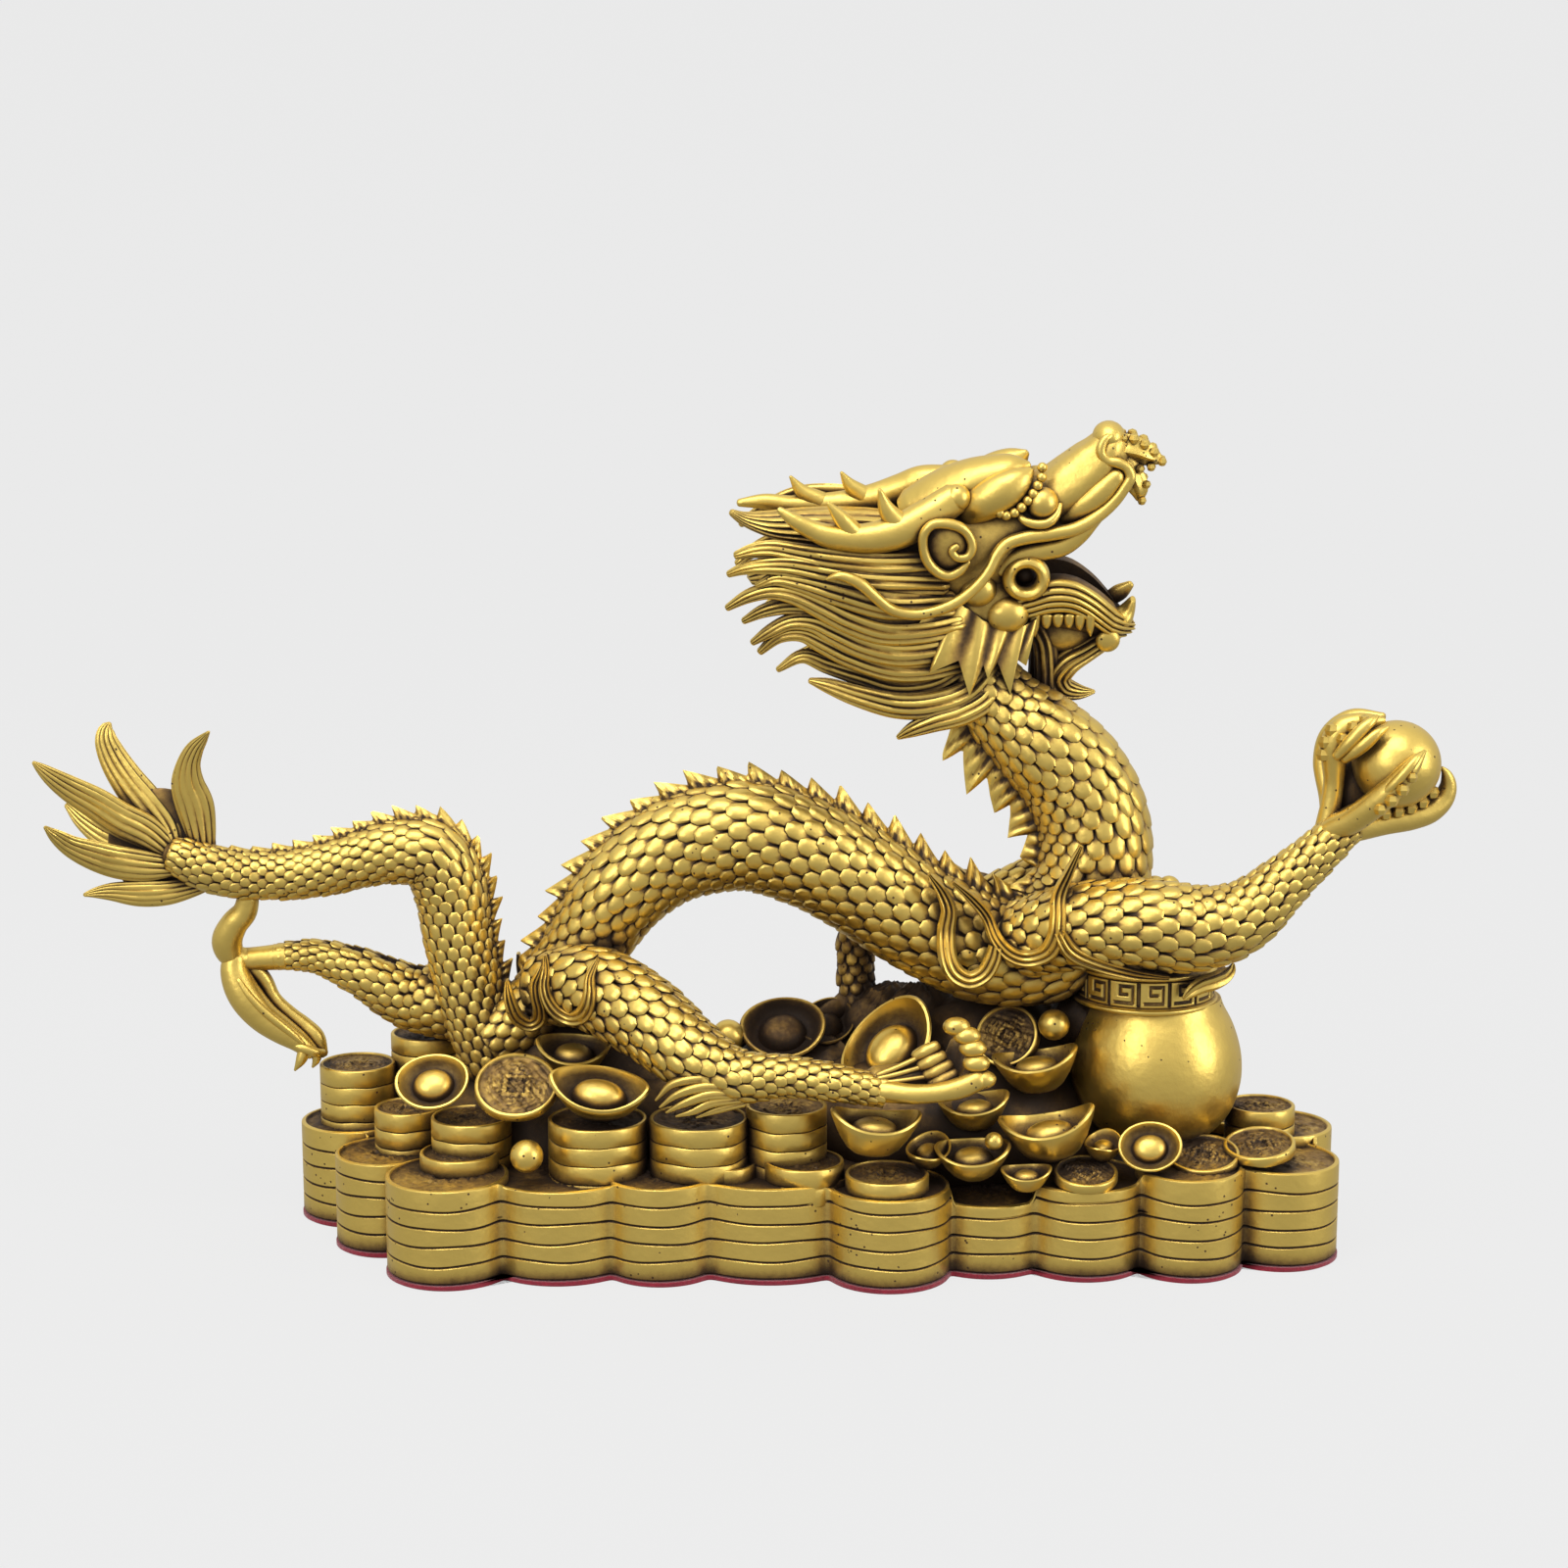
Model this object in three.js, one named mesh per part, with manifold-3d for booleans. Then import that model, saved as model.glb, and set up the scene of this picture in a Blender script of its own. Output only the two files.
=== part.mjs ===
// Cast brass dragon on a bed of coins and boat-shaped ingots, with a red felt under it.
// Millimetres. +X is the way the head faces, -Y the shown side, +Z up.
// The origin is the middle of the underside.
import * as THREE from "three";
import { mergeVertices } from "three/addons/utils/BufferGeometryUtils.js";
import Module from "manifold-3d";

const wasm = await Module();
wasm.setup();

// Driving dimensions
const FELT_THICK = 1.2;
const FIT_GAP = 0.3;
const CAST_BOTTOM = FELT_THICK + FIT_GAP;
const BASE_TOP = 24;
const PEARL_RADIUS = 10.9;
const POT_AXIS = [88.6, -4];
const SKULL_ROLL = THREE.MathUtils.degToRad(14);
const SKULL_PIVOT_Z = 170;
const SPINE_PITCH = 7.6;
const ARC_STEP = 0.5;
const CASTING_STEP = 1.3;
const FELT_STEP = 0.5;

// Profile of the pot and of the collar on it, each [radius, height]
const POT_PROFILE = [
  [0, 22], [11, 22], [17.5, 28], [21.4, 36], [22, 44], [20.6, 51], [17, 58],
  [16, 61], [17.5, 61.5], [17.9, 69], [12, 72], [0, 73],
];

// Bulges of the wavy edge of the bed, each [x, y, radius], going round from the left end of the shown side
const FRONT_ROW = [
  [-92, -31.8, 15.5], [-64.5, -23.9, 20], [-38.9, -30, 14.6], [-11.5, -17.2, 26], [18, -33.9, 15.5],
  [43.2, -22.8, 16], [67.5, -25.6, 15.5], [93.5, -28.1, 13.7], [118, -18.5, 15],
];
const RIGHT_END = [[122, 4, 13.4], [114, 25, 14]];
const BACK_ROW = [
  [91, 31, 15], [64, 27, 19], [37, 32, 15], [9, 24, 22], [-19, 33, 15], [-46, 28, 19], [-74, 32, 15],
];
const LEFT_END = [[-101, 30, 16], [-122, 14.7, 14.2], [-110.5, -10, 13]];
const LOW_STACK = [43, -29, 13.2, 18.7];
// Stacks of the second tier, each [x, y, radius, top]
const UPPER_STACKS = [
  [-121, 15, 10, 41], [-103, 22, 10, 47.5], [-105.2, -4, 8.8, 34.5], [-87.4, -17.5, 10.2, 36],
  [-89.8, -24, 10, 28],
  [-54.8, -25.9, 12.4, 38], [-29.4, -26.5, 12.4, 38], [-7.4, -24.6, 10.2, 41], [-23.5, -28, 9, 27],
  [-3, -31, 10, 28],
  [17.5, -37, 10.4, 26.5], [115.5, -2, 9, 34.6], [-76, 30, 12, 37], [-38, 31, 12, 40], [0, 30, 12, 36],
  [34, 31, 12, 39], [70, 28, 12, 35],
];
// Ingots, each [x, y, z of the underside, half length, turn, lean to the viewer, tip], degrees
const INGOTS = [
  [-97, -17, 33, 9.8, 8, 48, 0], [-62, -12, 40, 9.8, -4, 14, 0], [-54, -32, 36.5, 12.8, -6, 20, 6],
  [-1, 13, 44, 10, 15, 62, 6], [19, 0, 46, 14, 40, 44, -22], [58, -18, 37, 12, -4, 4, -8],
  [60, -31, 25.5, 12, -6, 6, -12], [39, -24, 29, 9.4, 4, 6, -4], [14.5, -39, 25.5, 12, 8, 2, 8],
  [41, -34, 17.6, 9.8, -2, 8, -2], [28, -29, 24, 8, 62, 16, 0], [53, -38, 19.5, 7, 0, 6, 0],
  [83, -33, 23.5, 8.4, -4, 52, -8], [73, -27, 24, 6.4, 70, 10, 0],
  [-20, 28, 34, 12, 150, -14, 4], [18, 30, 34, 12, 190, -12, -6], [54, 27, 33, 11, 172, -12, 6],
];
// Loose coins, each [x, y, z, radius, lean to the viewer, tip], and pearls, each [x, y, z, radius]
const COINS = [
  [-75, -26, 42, 11, 42, 4], [48, -7, 53, 8.8, 52, -38], [67, -34, 25, 8, 10, 0],
  [111.5, -22.5, 26, 9, 6, -8],
];
const PEARLS = [[-72, -38, 27.5, 4.2], [-21, 3, 43, 8], [61, -9, 51, 5.4], [44, -30, 33, 2.8]];
// The heap under the ingots, each [x, y, z, radius x, radius y, radius z]
const HEAP = [[36, 2, 30, 52, 36, 27], [-58, 4, 27, 50, 32, 24]];

// Lines of the dragon, each station [x, y, z, half width] or [x, y, z, half width, half height]
const TAIL = [
  [-160, 7, 97, 4], [-150, 8, 93, 5.4], [-136, 8, 93.5, 6.2], [-122, 8, 96, 7.2], [-110, 8, 99, 8.2],
  [-99, 8, 98, 9.2], [-94.5, 8, 89, 9.4], [-93, 7, 78, 9], [-90, 6, 65, 8.8], [-86, 5, 52, 9],
  [-82, 4, 42, 9],
];
const TAIL_CREST = [1.5, 1.5, 2, 2.5, 3.2, 3.6, 3.6, 3.6, 3.6, 3.6, 3.6];
const TRUNK = [
  [-84, 4, 50, 9], [-72, 4, 58, 9.6], [-61, 3, 73, 10.4], [-49, 0, 91, 11.8], [-36, 0, 101, 13],
  [-18, 0, 105, 13.8],
  [-3, 0, 101, 13.8], [12, 0, 93, 13.6], [29, 0, 82, 13.6], [46, 0, 75, 13.8], [61, 0, 77, 14.4],
  [69.5, 0, 88, 14.4],
  [71.8, 0, 99, 14.2], [70.8, 0, 110, 13.8], [65.5, 0, 121, 13.4], [56, -1, 130.5, 12.8],
  [44, -2, 138, 11.4],
  [36, -2, 148, 11], [32, -1, 160, 10],
];
const TRUNK_CREST = [3, 4, 5, 5, 5, 5, 5, 6.5, 8.5, 9.5, 8, 4, 5, 8, 10.5, 11.5, 11.5, 8, 5];
const NEAR_HIND_LEG = [
  [-70, -4, 66, 9], [-57, -12, 68, 10.2], [-43, -22, 63, 10], [-31, -30, 55.5, 8.6], [-20, -34, 51, 6.6],
  [-8, -36, 51.5, 5.2], [4, -38, 50.5, 4.6], [17, -38, 48, 3.8],
];
const FAR_HIND_LEG = [
  [-82, 12, 55, 9], [-96, 14, 57, 9], [-107, 15, 59, 8.2], [-119, 14, 65.5, 6.2], [-130, 13, 69.5, 5],
  [-141, 12, 69.5, 4.4], [-152, 10, 70, 3.6],
];
const ARM = [
  [52, -10, 80, 9.4], [66, -17, 85, 10.4], [82, -22, 86.5, 11], [96, -23, 86, 10.2], [106, -23, 89, 8.6],
  [117, -22, 98, 6.4], [127, -21, 107, 5.2], [132, -20, 112, 4.8],
];
const FAR_ARM = [
  [50, 10, 80, 9], [38, 18, 74, 7.6], [26, 23, 73, 6.6], [16, 25, 69, 5.2], [12, 26, 60, 4.2],
  [12, 24, 52, 4],
];
const NEAR_TOES = [
  [[12, -38, 49, 4], [26, -39, 47, 2.6], [34, -40, 48.5, 2.6], [39, -39, 52, 2.8], [35, -38, 56, 0.8]],
  [[14, -37, 49, 3.6], [28, -35, 49, 2.4], [36, -34, 50.5, 2.4], [40, -33, 54, 2.6], [36, -33, 58, 0.8]],
  [[14, -35, 49.5, 3.4], [27, -31, 51, 2.4], [35, -28, 53, 2.4], [38, -27, 57, 2.4], [34, -28, 60.5, 0.8]],
  [[13, -34, 49.5, 3], [24, -27, 51, 2.3], [31, -23, 54, 2.3], [34, -22, 58, 2.2], [30, -23, 61, 0.8]],
];
const HOCK_TUFT = [
  [-16, -36, 50, 4.5, 3.2], [-26, -38, 49, 3.6, 3.4], [-35, -38, 46, 2, 1.8], [-40, -37, 44, 0.6, 0.6],
];
const FAR_HIND_TOES = [
  [[-146, 11, 70, 4], [-153, 9, 74, 4.4], [-152.4, 8, 81, 4.4], [-148, 8, 89, 3.6]],
  [
    [-149, 10, 72, 3.8], [-151.5, 9, 63, 3.8], [-149, 8, 56, 3.4], [-143, 9, 50.5, 3],
    [-136, 11, 47, 2.6], [-126, 14, 40, 2],
  ],
  [[-148, 11, 69, 3], [-146, 14, 61, 2.4], [-142, 16, 55, 2.4], [-137, 16, 49.5, 2.4], [-128, 15, 42, 2]],
  [[-136, 10, 47, 2], [-139.5, 8, 43, 1.6], [-139, 8, 39.5, 0.6]],
];
const FAR_FRONT_TOES = [
  [[12, 25, 56, 4.2], [5, 22, 53, 3], [-1, 18, 51, 1.6]],
  [[12, 25, 56, 4.2], [14, 20, 54, 3], [21, 15, 55, 2.4], [26, 11, 56, 1.4]],
  [[12, 25, 56, 4.2], [18, 28, 53, 3], [24, 30, 48, 1.8]],
];
const FINGERS = [
  [
    [129, -19, 110, 3.4], [129, -12, 117, 2.8], [127.5, -9, 126, 2.5], [129, -9, 132.5, 2.5],
    [134, -11, 137, 2.3], [141, -15, 138, 1],
  ],
  [
    [129, -22, 110, 3.4], [129, -27, 120, 2.6], [128.5, -28, 128, 2.5], [132, -28, 133.5, 2.4],
    [138, -25, 137, 1.2],
  ],
  [[130, -23, 109, 3.6], [137, -28.5, 118, 3], [143, -30, 125.5, 2.3], [148, -28.5, 131, 1]],
  [
    [132, -20, 109, 3.6], [144, -16, 109.5, 2.8], [153, -13, 111, 2.8], [160.5, -11, 115.5, 2.4],
    [161, -12, 120, 2], [157, -15, 123.5, 1],
  ],
];
const PEARL_CENTRE = [144, -18, 126.5];
const FIN_LOBES = [
  [
    [-152, 6, 94, 3, 2.5], [-158, 5, 104, 2, 4.4], [-159, 4, 112, 1.8, 5], [-161, 3, 120, 1.6, 3.8],
    [-159, 2, 126, 1.2, 2.5], [-155, 1, 131, 0.6, 0.8],
  ],
  [
    [-156, 8, 96, 3, 3], [-167, 9, 105, 2.2, 4.6], [-173, 10, 115, 2, 5.2], [-179, 11, 123, 1.6, 3.8],
    [-183, 12, 129, 1.2, 2.6], [-184, 12, 132, 0.6, 1],
  ],
  [
    [-158, 6, 97, 3, 3], [-170, 5, 103.5, 2.2, 4.4], [-179, 3, 109, 2, 5], [-189, 1, 116.5, 1.6, 3.6],
    [-196, 0, 121.5, 1.2, 2.2], [-200, 0, 123.5, 0.6, 0.8],
  ],
  [
    [-157, 6, 94, 3, 3], [-168, 3, 96, 2.2, 4], [-178, -3, 98.5, 2, 4.6], [-187, -8, 102, 1.6, 3.4],
    [-193, -10, 106, 1.2, 2.2], [-196, -11, 109, 0.6, 0.8],
  ],
  [
    [-154, 8, 92, 3, 2.5], [-161, 6, 89.5, 1.8, 2.6], [-169, 4, 88.5, 1.8, 3.2],
    [-179, 2, 88.5, 1.6, 3], [-188, 1, 88.5, 0.6, 0.8],
  ],
  [
    [-157, 9, 95, 3, 3], [-168, 13, 97, 2.2, 4], [-178, 18, 101, 2, 4.4], [-187, 22, 106, 1.6, 3],
    [-192, 24, 111, 0.6, 0.8],
  ],
];

// Lines of the head, in its own frame, before it leans by SKULL_ROLL; y is minus on the shown side
const SKULL = [
  [17, 0, 172, 12, 11], [29, 0, 176, 14.5, 16], [41, 0, 181, 14.5, 15.5], [51, 0, 187, 12, 11],
  [58, 0, 190, 10, 9.6],
  [65.5, 0, 194, 8.4, 9.4], [71, 0, 199.5, 7.4, 8.4], [75, 0, 206, 5, 5.6],
];
const NOSE_LEAVES = [
  [[73, 0, 205, 3.6, 3], [80.5, -1, 204.6, 3, 2.2], [86, -2, 202.6, 0.6, 0.6]],
  [[75, -1, 203, 3, 2.6], [79, -2, 198, 2.2, 1.8], [79.6, -2.4, 194, 0.5, 0.5]],
];
const NOSE = [[68, 0, 201, 6, 6], [73, 0, 207.5, 5.4, 5], [75.5, 0, 210, 3, 2.4]];
const JAW_SIDE = [
  [44, -10, 165, 4, 4.6], [54, -9.5, 169, 3, 5], [62.5, -9, 170, 2.6, 5], [70, -8, 166, 2.6, 5],
  [75.4, -4.5, 160.5, 3, 4.2], [77, 0, 159, 3, 3.6],
];
const JAW_FLOOR = [
  [46, 0, 161, 9, 5], [58, 0, 161.5, 8, 6.5], [67, 0, 160, 6.6, 5.5], [75, 0, 158.5, 4, 3],
];
const JAW_TIP = [[76.5, 0, 159, 4, 3], [78.6, 0, 165, 2.6, 2], [79, 0, 170.5, 1, 0.8]];
const BEARD = [
  [74, 0, 156, 5, 3], [66, 0, 150, 5.6, 3.6], [61.5, 0, 144, 4.6, 3.6], [64, 0, 140.5, 3.4, 2.6],
  [71, 0, 140, 0.6, 0.6],
];
const THROAT = [[48, 0, 158, 8, 6], [56, 0, 148, 6.4, 5], [60, 0, 138, 6, 4.4], [60, 0, 131, 6, 4]];
const BROW = [
  [36, -8, 190, 4, 4.6], [41.5, -8, 193, 4.8, 5.6], [47.5, -8, 196.3, 4.2, 5],
  [54, -6.5, 200.5, 1.6, 1.8],
];
const CROWN = [[22, 0, 188, 5, 5], [33, 0, 193.5, 6, 6], [42, 0, 196, 5.6, 5.4], [51, 0, 197.5, 3, 2.6]];
const ANTLER = [
  [36, -8, 195, 5], [25, -10.5, 190.5, 4.6], [13, -13, 187, 3.9], [1, -15, 188.8, 3],
  [-9, -16, 194.5, 1],
];
const FAR_ANTLER = [
  [36, 8, 193, 5], [25, 9, 188, 4.6], [13, 10, 184.5, 3.9], [1, 11, 186, 3], [-7, 12, 191.5, 1],
];
const TINES = [
  [[19, -11.5, 190, 2.6], [16, -12, 194.5, 1.8], [14.6, -12, 199, 0.4]],
  [[6, -14, 188.5, 2.4], [4, -14, 191.5, 1.6], [2.6, -14, 195, 0.4]],
];
const EAR = [
  [38, -14, 183, 1.6, 2.4], [34, -15.5, 185.5, 2.2, 5], [29, -16.5, 186, 1.8, 5.4],
  [25.5, -17, 186.5, 1, 2.4],
];
const MUSTACHE = [
  [76, -4, 204.5, 1.6], [75.5, -7.6, 196, 1.8], [66, -9.4, 187.6, 1.9], [51, -13, 187, 1.9],
  [40, -16, 177.5, 1.9],
  [32, -18, 171, 1.9], [21, -20.8, 169.4, 1.8], [11, -22, 177, 1.6], [4, -22, 181, 0.7],
];
const CHEEKS = [[40, -11, 171.8, 5], [48, -9.6, 163.6, 5]];
const MOUTH_CORNER = { at: [52.4, -9.5, 174.3], radius: 4.4, tube: 1.7 };
const EYE = [55.2, -8.6, 194.4, 4.2];
const FRILL = [
  [[38, -11, 164, 2.6], [33.5, -14, 159, 2], [28.5, -15, 153.5, 0.4]],
  [[44, -10.5, 160, 2.6], [41.6, -12, 153, 2], [39, -12, 145.5, 0.4]],
  [[50, -8.6, 158, 2.2], [50, -10, 151.5, 1.7], [49.6, -9.4, 145, 0.4]],
];
const LOCKS = [
  [
    [32, -10, 179, 4, 5.4], [18, -15, 184, 3.4, 5.8], [4, -16.5, 187.2, 3, 5],
    [-12, -16.5, 186.6, 2.2, 3.2], [-20, -15, 183, 0.6, 0.8],
  ],
  [
    [28, -12, 175, 4, 5], [10, -16.8, 180.5, 3.4, 5.4], [-8, -17.5, 182, 2.4, 3.6],
    [-21, -16, 178.8, 0.6, 0.8],
  ],
  [
    [30, -12, 164, 4, 5], [14, -17.5, 165, 3.4, 5.4], [0, -18, 170.5, 2.8, 4.6],
    [-14, -16.4, 173.8, 1.9, 2.4], [-22.5, -15, 169.5, 0.6, 0.8],
  ],
  [[24, -8, 158, 4, 5], [5, -12, 162.5, 3, 4.4], [-8, -11, 166.5, 2.4, 3], [-18.5, -10, 163.5, 0.6, 0.8]],
  [
    [33, -11, 157, 4, 5], [16, -16.5, 156.8, 3.4, 5.4], [1, -16, 162.4, 2.8, 4],
    [-10, -15, 164, 1.7, 2.2], [-15.5, -14, 158, 0.6, 0.8],
  ],
  [
    [36, -10, 151, 4, 4.6], [20, -14.5, 150, 3.4, 5], [5, -14, 154.4, 2.8, 4],
    [-8, -13, 155, 1.5, 2.2], [-11, -12, 150, 0.6, 0.8],
  ],
  [
    [40, -8.5, 147.5, 4, 4.4], [22, -12.5, 144.8, 3.2, 4.4], [8, -12, 148, 2.4, 3.6],
    [-2, -11, 147.4, 0.6, 0.8],
  ],
  [[46, -7, 145, 3.4, 3.4], [34, -9, 137, 3, 3.4], [21, -8, 131.5, 0.6, 0.8]],
];
// The far side of the mane is plainer
const FAR_LOCKS = [
  [[30, 10, 178, 4, 5.6], [12, 15, 184, 3.4, 6], [-4, 15.5, 187, 2.8, 4.4], [-19, 13, 183, 0.6, 0.8]],
  [[30, 11, 167, 4, 5.6], [12, 16.5, 170, 3.4, 6], [-4, 16.5, 175, 2.8, 4.4], [-20, 14, 171, 0.6, 0.8]],
  [[32, 9, 157, 4, 5.6], [14, 13.5, 158, 3.4, 5.6], [0, 13, 162, 2.8, 4], [-14, 11, 159, 0.6, 0.8]],
  [[38, 7, 149, 4, 5], [22, 11, 147, 3.2, 4.8], [8, 11, 149.5, 2.6, 3.6], [-4, 9.5, 148, 0.6, 0.8]],
];
const CREST_LOCKS = [
  [
    [24, 0, 184, 5, 6], [10, 0, 190, 6, 5], [-4, 0, 190.5, 5, 4], [-14, 0, 190.5, 3.4, 2.6],
    [-20, 0, 191, 0.8, 0.8],
  ],
  [[22, 0, 172, 10, 10], [8, 0, 174, 12, 9], [-5, 0, 175, 9, 7], [-15, 0, 172, 4, 3]],
  [[26, 0, 158, 9, 9], [12, 0, 158, 10, 8], [0, 0, 160, 7, 5], [-8, 0, 158, 3, 2]],
];
// Flame ribbons at the shoulder and the hip
const SHOULDER_RIBBONS = [
  [
    [24, -12, 92, 1.6], [30, -15.5, 84, 1.8], [34, -16.5, 71.5, 2], [42, -17, 66.5, 2],
    [48, -18.5, 70, 2], [50, -20, 77, 1.8], [43, -17, 85, 1.4],
  ],
  [
    [50, -20, 76, 1.8], [56, -23.5, 73, 2], [63, -26, 74.5, 2], [67, -26.5, 82, 2], [68, -24, 92, 1.8],
    [73, -17, 103, 0.8],
  ],
  [[67, -27, 80, 2], [77, -28.5, 73, 2], [90, -29, 70.5, 1.8], [103, -26, 69.5, 0.8]],
];
const HIP_RIBBONS = [
  [
    [-72, -6, 79, 1.4], [-74.5, -11, 68, 1.8], [-71, -14.5, 61, 1.8], [-65.5, -17, 64, 1.8],
    [-62, -18, 73, 1.6],
  ],
  [
    [-62, -16, 76, 1.6], [-61, -20.5, 66, 1.8], [-55, -23.5, 61.5, 1.8], [-48.5, -23.5, 66, 1.8],
    [-47.5, -20, 77, 1.2],
  ],
];

// Shares and small sizes of the forms that repeat
const LIMB_CAP = 0.45;
const INGOT_BREADTH = 0.62;
const EGG_TOP = 0.95;
// Rings of an ingot, each [reach, height, extra height at both ends], as shares of its half length
const INGOT_RINGS = [[0.5, 0, 0], [1, 0.56, 0.4], [0.52, 0.46, 0]];
const SPINE_ROOT = 0.8;
const SPINE_INSIDE = 0.7;
const SPINE_HALF_THICK = 1.8;
const COIN_THICK = 3.4;
const STACK_SINK = 6;
const BIG_PEARL = 4.5;
const WELD = 1e-3;
// Facets round each kind of form
const TRUNK_SIDES = 10;
const LEG_SIDES = 8;
const FAR_LEG_SIDES = 7;
const FAR_ARM_SIDES = 6;
const HEAD_SIDES = 5;
const THIN_SIDES = 4;
const STACK_SIDES = 9;
const COIN_SIDES = 10;
const INGOT_SIDES = 8;
const POT_SIDES = 16;
// Where the rows of spines start and end, as shares of the line's length
const TAIL_SPINES = [0.12, 0.86];
const BACK_SPINES = [0.1, 0.93];

const AXIS_Y = new THREE.Vector3(0, 1, 0);
const { degToRad, lerp } = THREE.MathUtils;

// Turns a closed three.js geometry into a solid for joining and cutting
function solid(geometry) {
  const bare = geometry.clone();
  bare.deleteAttribute("normal");
  bare.deleteAttribute("uv");
  const merged = mergeVertices(bare, WELD);
  return new wasm.Manifold(new wasm.Mesh({
    numProp: 3,
    vertProperties: merged.attributes.position.array,
    triVerts: new Uint32Array(merged.index.array),
  }));
}

// Rings of points joined by triangles, with a point closing each end
function skin(rings, first, last) {
  const sides = rings[0].length;
  const points = [...rings.flat(), first, last];
  const index = [];
  const at = (ring, k) => ring * sides + (k % sides);
  for (let k = 0; k < sides; k++) {
    index.push(points.length - 2, at(0, k + 1), at(0, k));
    for (let r = 0; r + 1 < rings.length; r++) {
      index.push(at(r, k), at(r, k + 1), at(r + 1, k));
      index.push(at(r, k + 1), at(r + 1, k + 1), at(r + 1, k));
    }
    index.push(points.length - 1, at(rings.length - 1, k), at(rings.length - 1, k + 1));
  }
  const geometry = new THREE.BufferGeometry().setFromPoints(points);
  geometry.setIndex(index);
  return geometry;
}

// A smooth line through the middles of the stations
function lineThrough(stations) {
  const middles = stations.map(([x, y, z]) => new THREE.Vector3(x, y, z));
  return new THREE.CatmullRomCurve3(middles, false, "centripetal");
}

// The two directions across a line: one level, one up
function across(along) {
  const side = AXIS_Y.clone().addScaledVector(along, -along.y).normalize();
  return [side, along.clone().cross(side)];
}

// A round or oval limb with a ring of facets at each station, and blunt ends
function limb(stations, sides) {
  const line = lineThrough(stations);
  const last = stations.length - 1;
  const rounding = Math.PI / sides / Math.sin(Math.PI / sides);
  const rings = stations.map(([, , , wide, high = wide], i) => {
    const centre = line.getPoint(i / last);
    const [side, over] = across(line.getTangent(i / last));
    return Array.from({ length: sides }, (_, n) => {
      const a = (2 * Math.PI * n) / sides;
      return centre.clone()
        .addScaledVector(side, wide * rounding * Math.cos(a))
        .addScaledVector(over, high * rounding * Math.sin(a));
    });
  });
  const cap = (t, sign, size) => line.getPoint(t).addScaledVector(line.getTangent(t), sign * LIMB_CAP * size);
  return solid(skin(rings, cap(0, -1, stations[0][3]), cap(1, 1, stations[last][3])));
}

// An upright coin stack
function stack([x, y, radius, top], bottom) {
  const shape = new THREE.CylinderGeometry(radius, radius, top - bottom, STACK_SIDES).rotateX(Math.PI / 2);
  return solid(shape.translate(x, y, (top + bottom) / 2));
}

// The boat shape of an ingot: a small foot, a rim that rises at both ends, and an egg in the hollow
function ingot([x, y, z, half, turn, lean, tip]) {
  const rings = INGOT_RINGS.map(([reach, height, rise]) => Array.from({ length: INGOT_SIDES }, (_, n) => {
    const a = (2 * Math.PI * n) / INGOT_SIDES;
    const lift = height + rise * Math.cos(a) ** 2;
    return new THREE.Vector3(reach * Math.cos(a), INGOT_BREADTH * reach * Math.sin(a), lift).multiplyScalar(half);
  }));
  const boat = skin(rings, new THREE.Vector3(0, 0, 0), new THREE.Vector3(0, 0, EGG_TOP * half));
  boat.rotateZ(degToRad(turn)).rotateX(degToRad(lean)).rotateY(degToRad(tip)).translate(x, y, z);
  return solid(boat);
}

function coin([x, y, z, radius, lean, tip]) {
  const disc = new THREE.CylinderGeometry(radius, radius, COIN_THICK, COIN_SIDES).rotateX(Math.PI / 2);
  disc.rotateX(degToRad(lean)).rotateY(degToRad(tip));
  return solid(disc.translate(x, y, z));
}

function ball([x, y, z, rx, ry = rx, rz = rx], detail) {
  return solid(new THREE.IcosahedronGeometry(1, detail).scale(rx, ry, rz).translate(x, y, z));
}

// The squat money pot under the chest, with its banded collar
function pot() {
  const profile = POT_PROFILE.map(([radius, height]) => new THREE.Vector2(radius, height));
  const turned = new THREE.LatheGeometry(profile, POT_SIDES).rotateX(Math.PI / 2);
  return solid(turned.translate(...POT_AXIS, 0));
}

// Where two neighbouring rings of the bed cross, on the outer side of the line between their centres
function notch([ax, ay, ar], [bx, by, br]) {
  const gap = Math.hypot(bx - ax, by - ay);
  const along = (gap * gap + ar * ar - br * br) / (2 * gap);
  const out = Math.sqrt(Math.max(ar * ar - along * along, 0));
  const [ux, uy] = [(bx - ax) / gap, (by - ay) / gap];
  return [ax + ux * along + uy * out, ay + uy * along - ux * out];
}

// The wavy outline of the bed: an arc of each bulge between its two notches
function bedOutline() {
  const around = [...FRONT_ROW, ...RIGHT_END, ...BACK_ROW, ...LEFT_END];
  const outline = [];
  around.forEach((ring, i) => {
    const [x, y, radius] = ring;
    const [sx, sy] = notch(around.at(i - 1), ring);
    const [ex, ey] = notch(ring, around[(i + 1) % around.length]);
    const start = Math.atan2(sy - y, sx - x);
    const turn = (Math.atan2(ey - y, ex - x) - start + 4 * Math.PI) % (2 * Math.PI);
    const steps = Math.ceil(turn / ARC_STEP);
    for (let k = 0; k < steps; k++) {
      const a = start + (turn * k) / steps;
      outline.push(new THREE.Vector2(x + radius * Math.cos(a), y + radius * Math.sin(a)));
    }
  });
  return new THREE.Shape(outline);
}

function bed(bottom, top) {
  const block = new THREE.ExtrudeGeometry(bedOutline(), { depth: top - bottom, bevelEnabled: false });
  return solid(block.translate(0, 0, bottom));
}

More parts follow.
